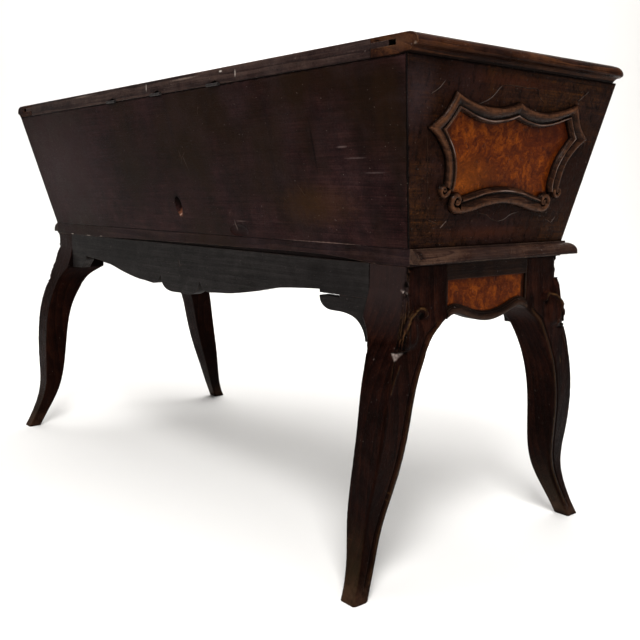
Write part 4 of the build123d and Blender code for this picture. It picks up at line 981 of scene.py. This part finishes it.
# ---------------------------------------------------------------- camera
# Set at the corner between the back and the left end, a little below lid height,
# with the long focal length that keeps the box's lines as straight as they look.
camera_place = Vector((-1.568, 1.1258, 0.632))
camera_yaw = math.radians(-39.846)
camera_pitch = math.radians(-8.634)
camera_roll = math.radians(0.223)

ahead = Vector((
    math.cos(camera_pitch) * math.cos(camera_yaw),
    math.cos(camera_pitch) * math.sin(camera_yaw),
    math.sin(camera_pitch)))
level_right = ahead.cross(Vector((0, 0, 1))).normalized()
level_up = level_right.cross(ahead)
right = math.cos(camera_roll) * level_right + math.sin(camera_roll) * level_up
up = math.cos(camera_roll) * level_up - math.sin(camera_roll) * level_right

camera_data = bpy.data.cameras.new("camera")
camera_data.sensor_width = 36.0
camera_data.lens = 47.728
camera_data.clip_start = 0.05
camera_data.clip_end = 60.0
camera = new_object("camera", camera_data)
camera.matrix_world = Matrix((
    (right.x, up.x, -ahead.x, camera_place.x),
    (right.y, up.y, -ahead.y, camera_place.y),
    (right.z, up.z, -ahead.z, camera_place.z),
    (0, 0, 0, 1)))
bpy.context.scene.camera = camera
bpy.context.scene.view_settings.view_transform = "Standard"


# ---------------------------------------------------------------- floor and light
# A pale even sweep and large soft lamps, as for a catalogue photograph.
studio_paper = bpy.data.materials.new("studio_paper")
studio_paper.use_nodes = True
paper = studio_paper.node_tree.nodes["Principled BSDF"]
paper.inputs["Base Color"].default_value = colour("#e9e7e4")
paper.inputs["Roughness"].default_value = 0.95

# flat floor, a quarter turn in 5 degree steps, and an upright wall
SWEEP_START = 3.0
SWEEP_RADIUS = 1.6
sweep = bmesh.new()
sweep_line = [(-4.5, 0.0)]
for step in range(25):
    turn = math.radians(min(step, 18) * 5)
    sweep_line.append((
        SWEEP_START + SWEEP_RADIUS * math.sin(turn),
        SWEEP_RADIUS * (1 - math.cos(turn)) + max(step - 18, 0) * 0.7))
rows = [[sweep.verts.new((x, y, z)) for x in (-9.0, 9.0)] for y, z in sweep_line]
for low, high in zip(rows, rows[1:]):
    sweep.faces.new((low[0], low[1], high[1], high[0]))
sweep_mesh = bpy.data.meshes.new("studio_sweep")
sweep.to_mesh(sweep_mesh)
sweep.free()
sweep_mesh.materials.append(studio_paper)
sweep_mesh.shade_smooth()
studio_sweep = new_object("studio_sweep", sweep_mesh)
studio_sweep.rotation_euler = (0, 0, camera_yaw - math.pi / 2)

world = bpy.data.worlds.new("studio")
world.use_nodes = True
world.node_tree.nodes["Background"].inputs["Color"].default_value = colour("#ffffff")
world.node_tree.nodes["Background"].inputs["Strength"].default_value = 0.20
bpy.context.scene.world = world


def lamp(name, place, aim, size, power):
    """A square soft lamp, turned to a point."""
    data = bpy.data.lights.new(name, "AREA")
    data.shape = "SQUARE"
    data.size = size
    data.energy = power
    item = new_object(name, data)
    item.location = place
    item.rotation_euler = (Vector(aim) - Vector(place)).to_track_quat("-Z", "Y").to_euler()


lamp("overhead_light", (0.2, -0.2, 3.4), (0.0, 0.0, 0.5), 3.0, 70)
lamp("high_light", (-2.1, 1.5, 3.1), (-0.2, 0.1, 0.55), 1.3, 150)
lamp("end_light", (-3.6, 0.3, 1.5), (-0.6, 0, 0.5), 1.6, 16)
lamp("backdrop_light", (1.5, -1.25, 3.3), (3.2, -2.7, 1.0), 3.0, 150)
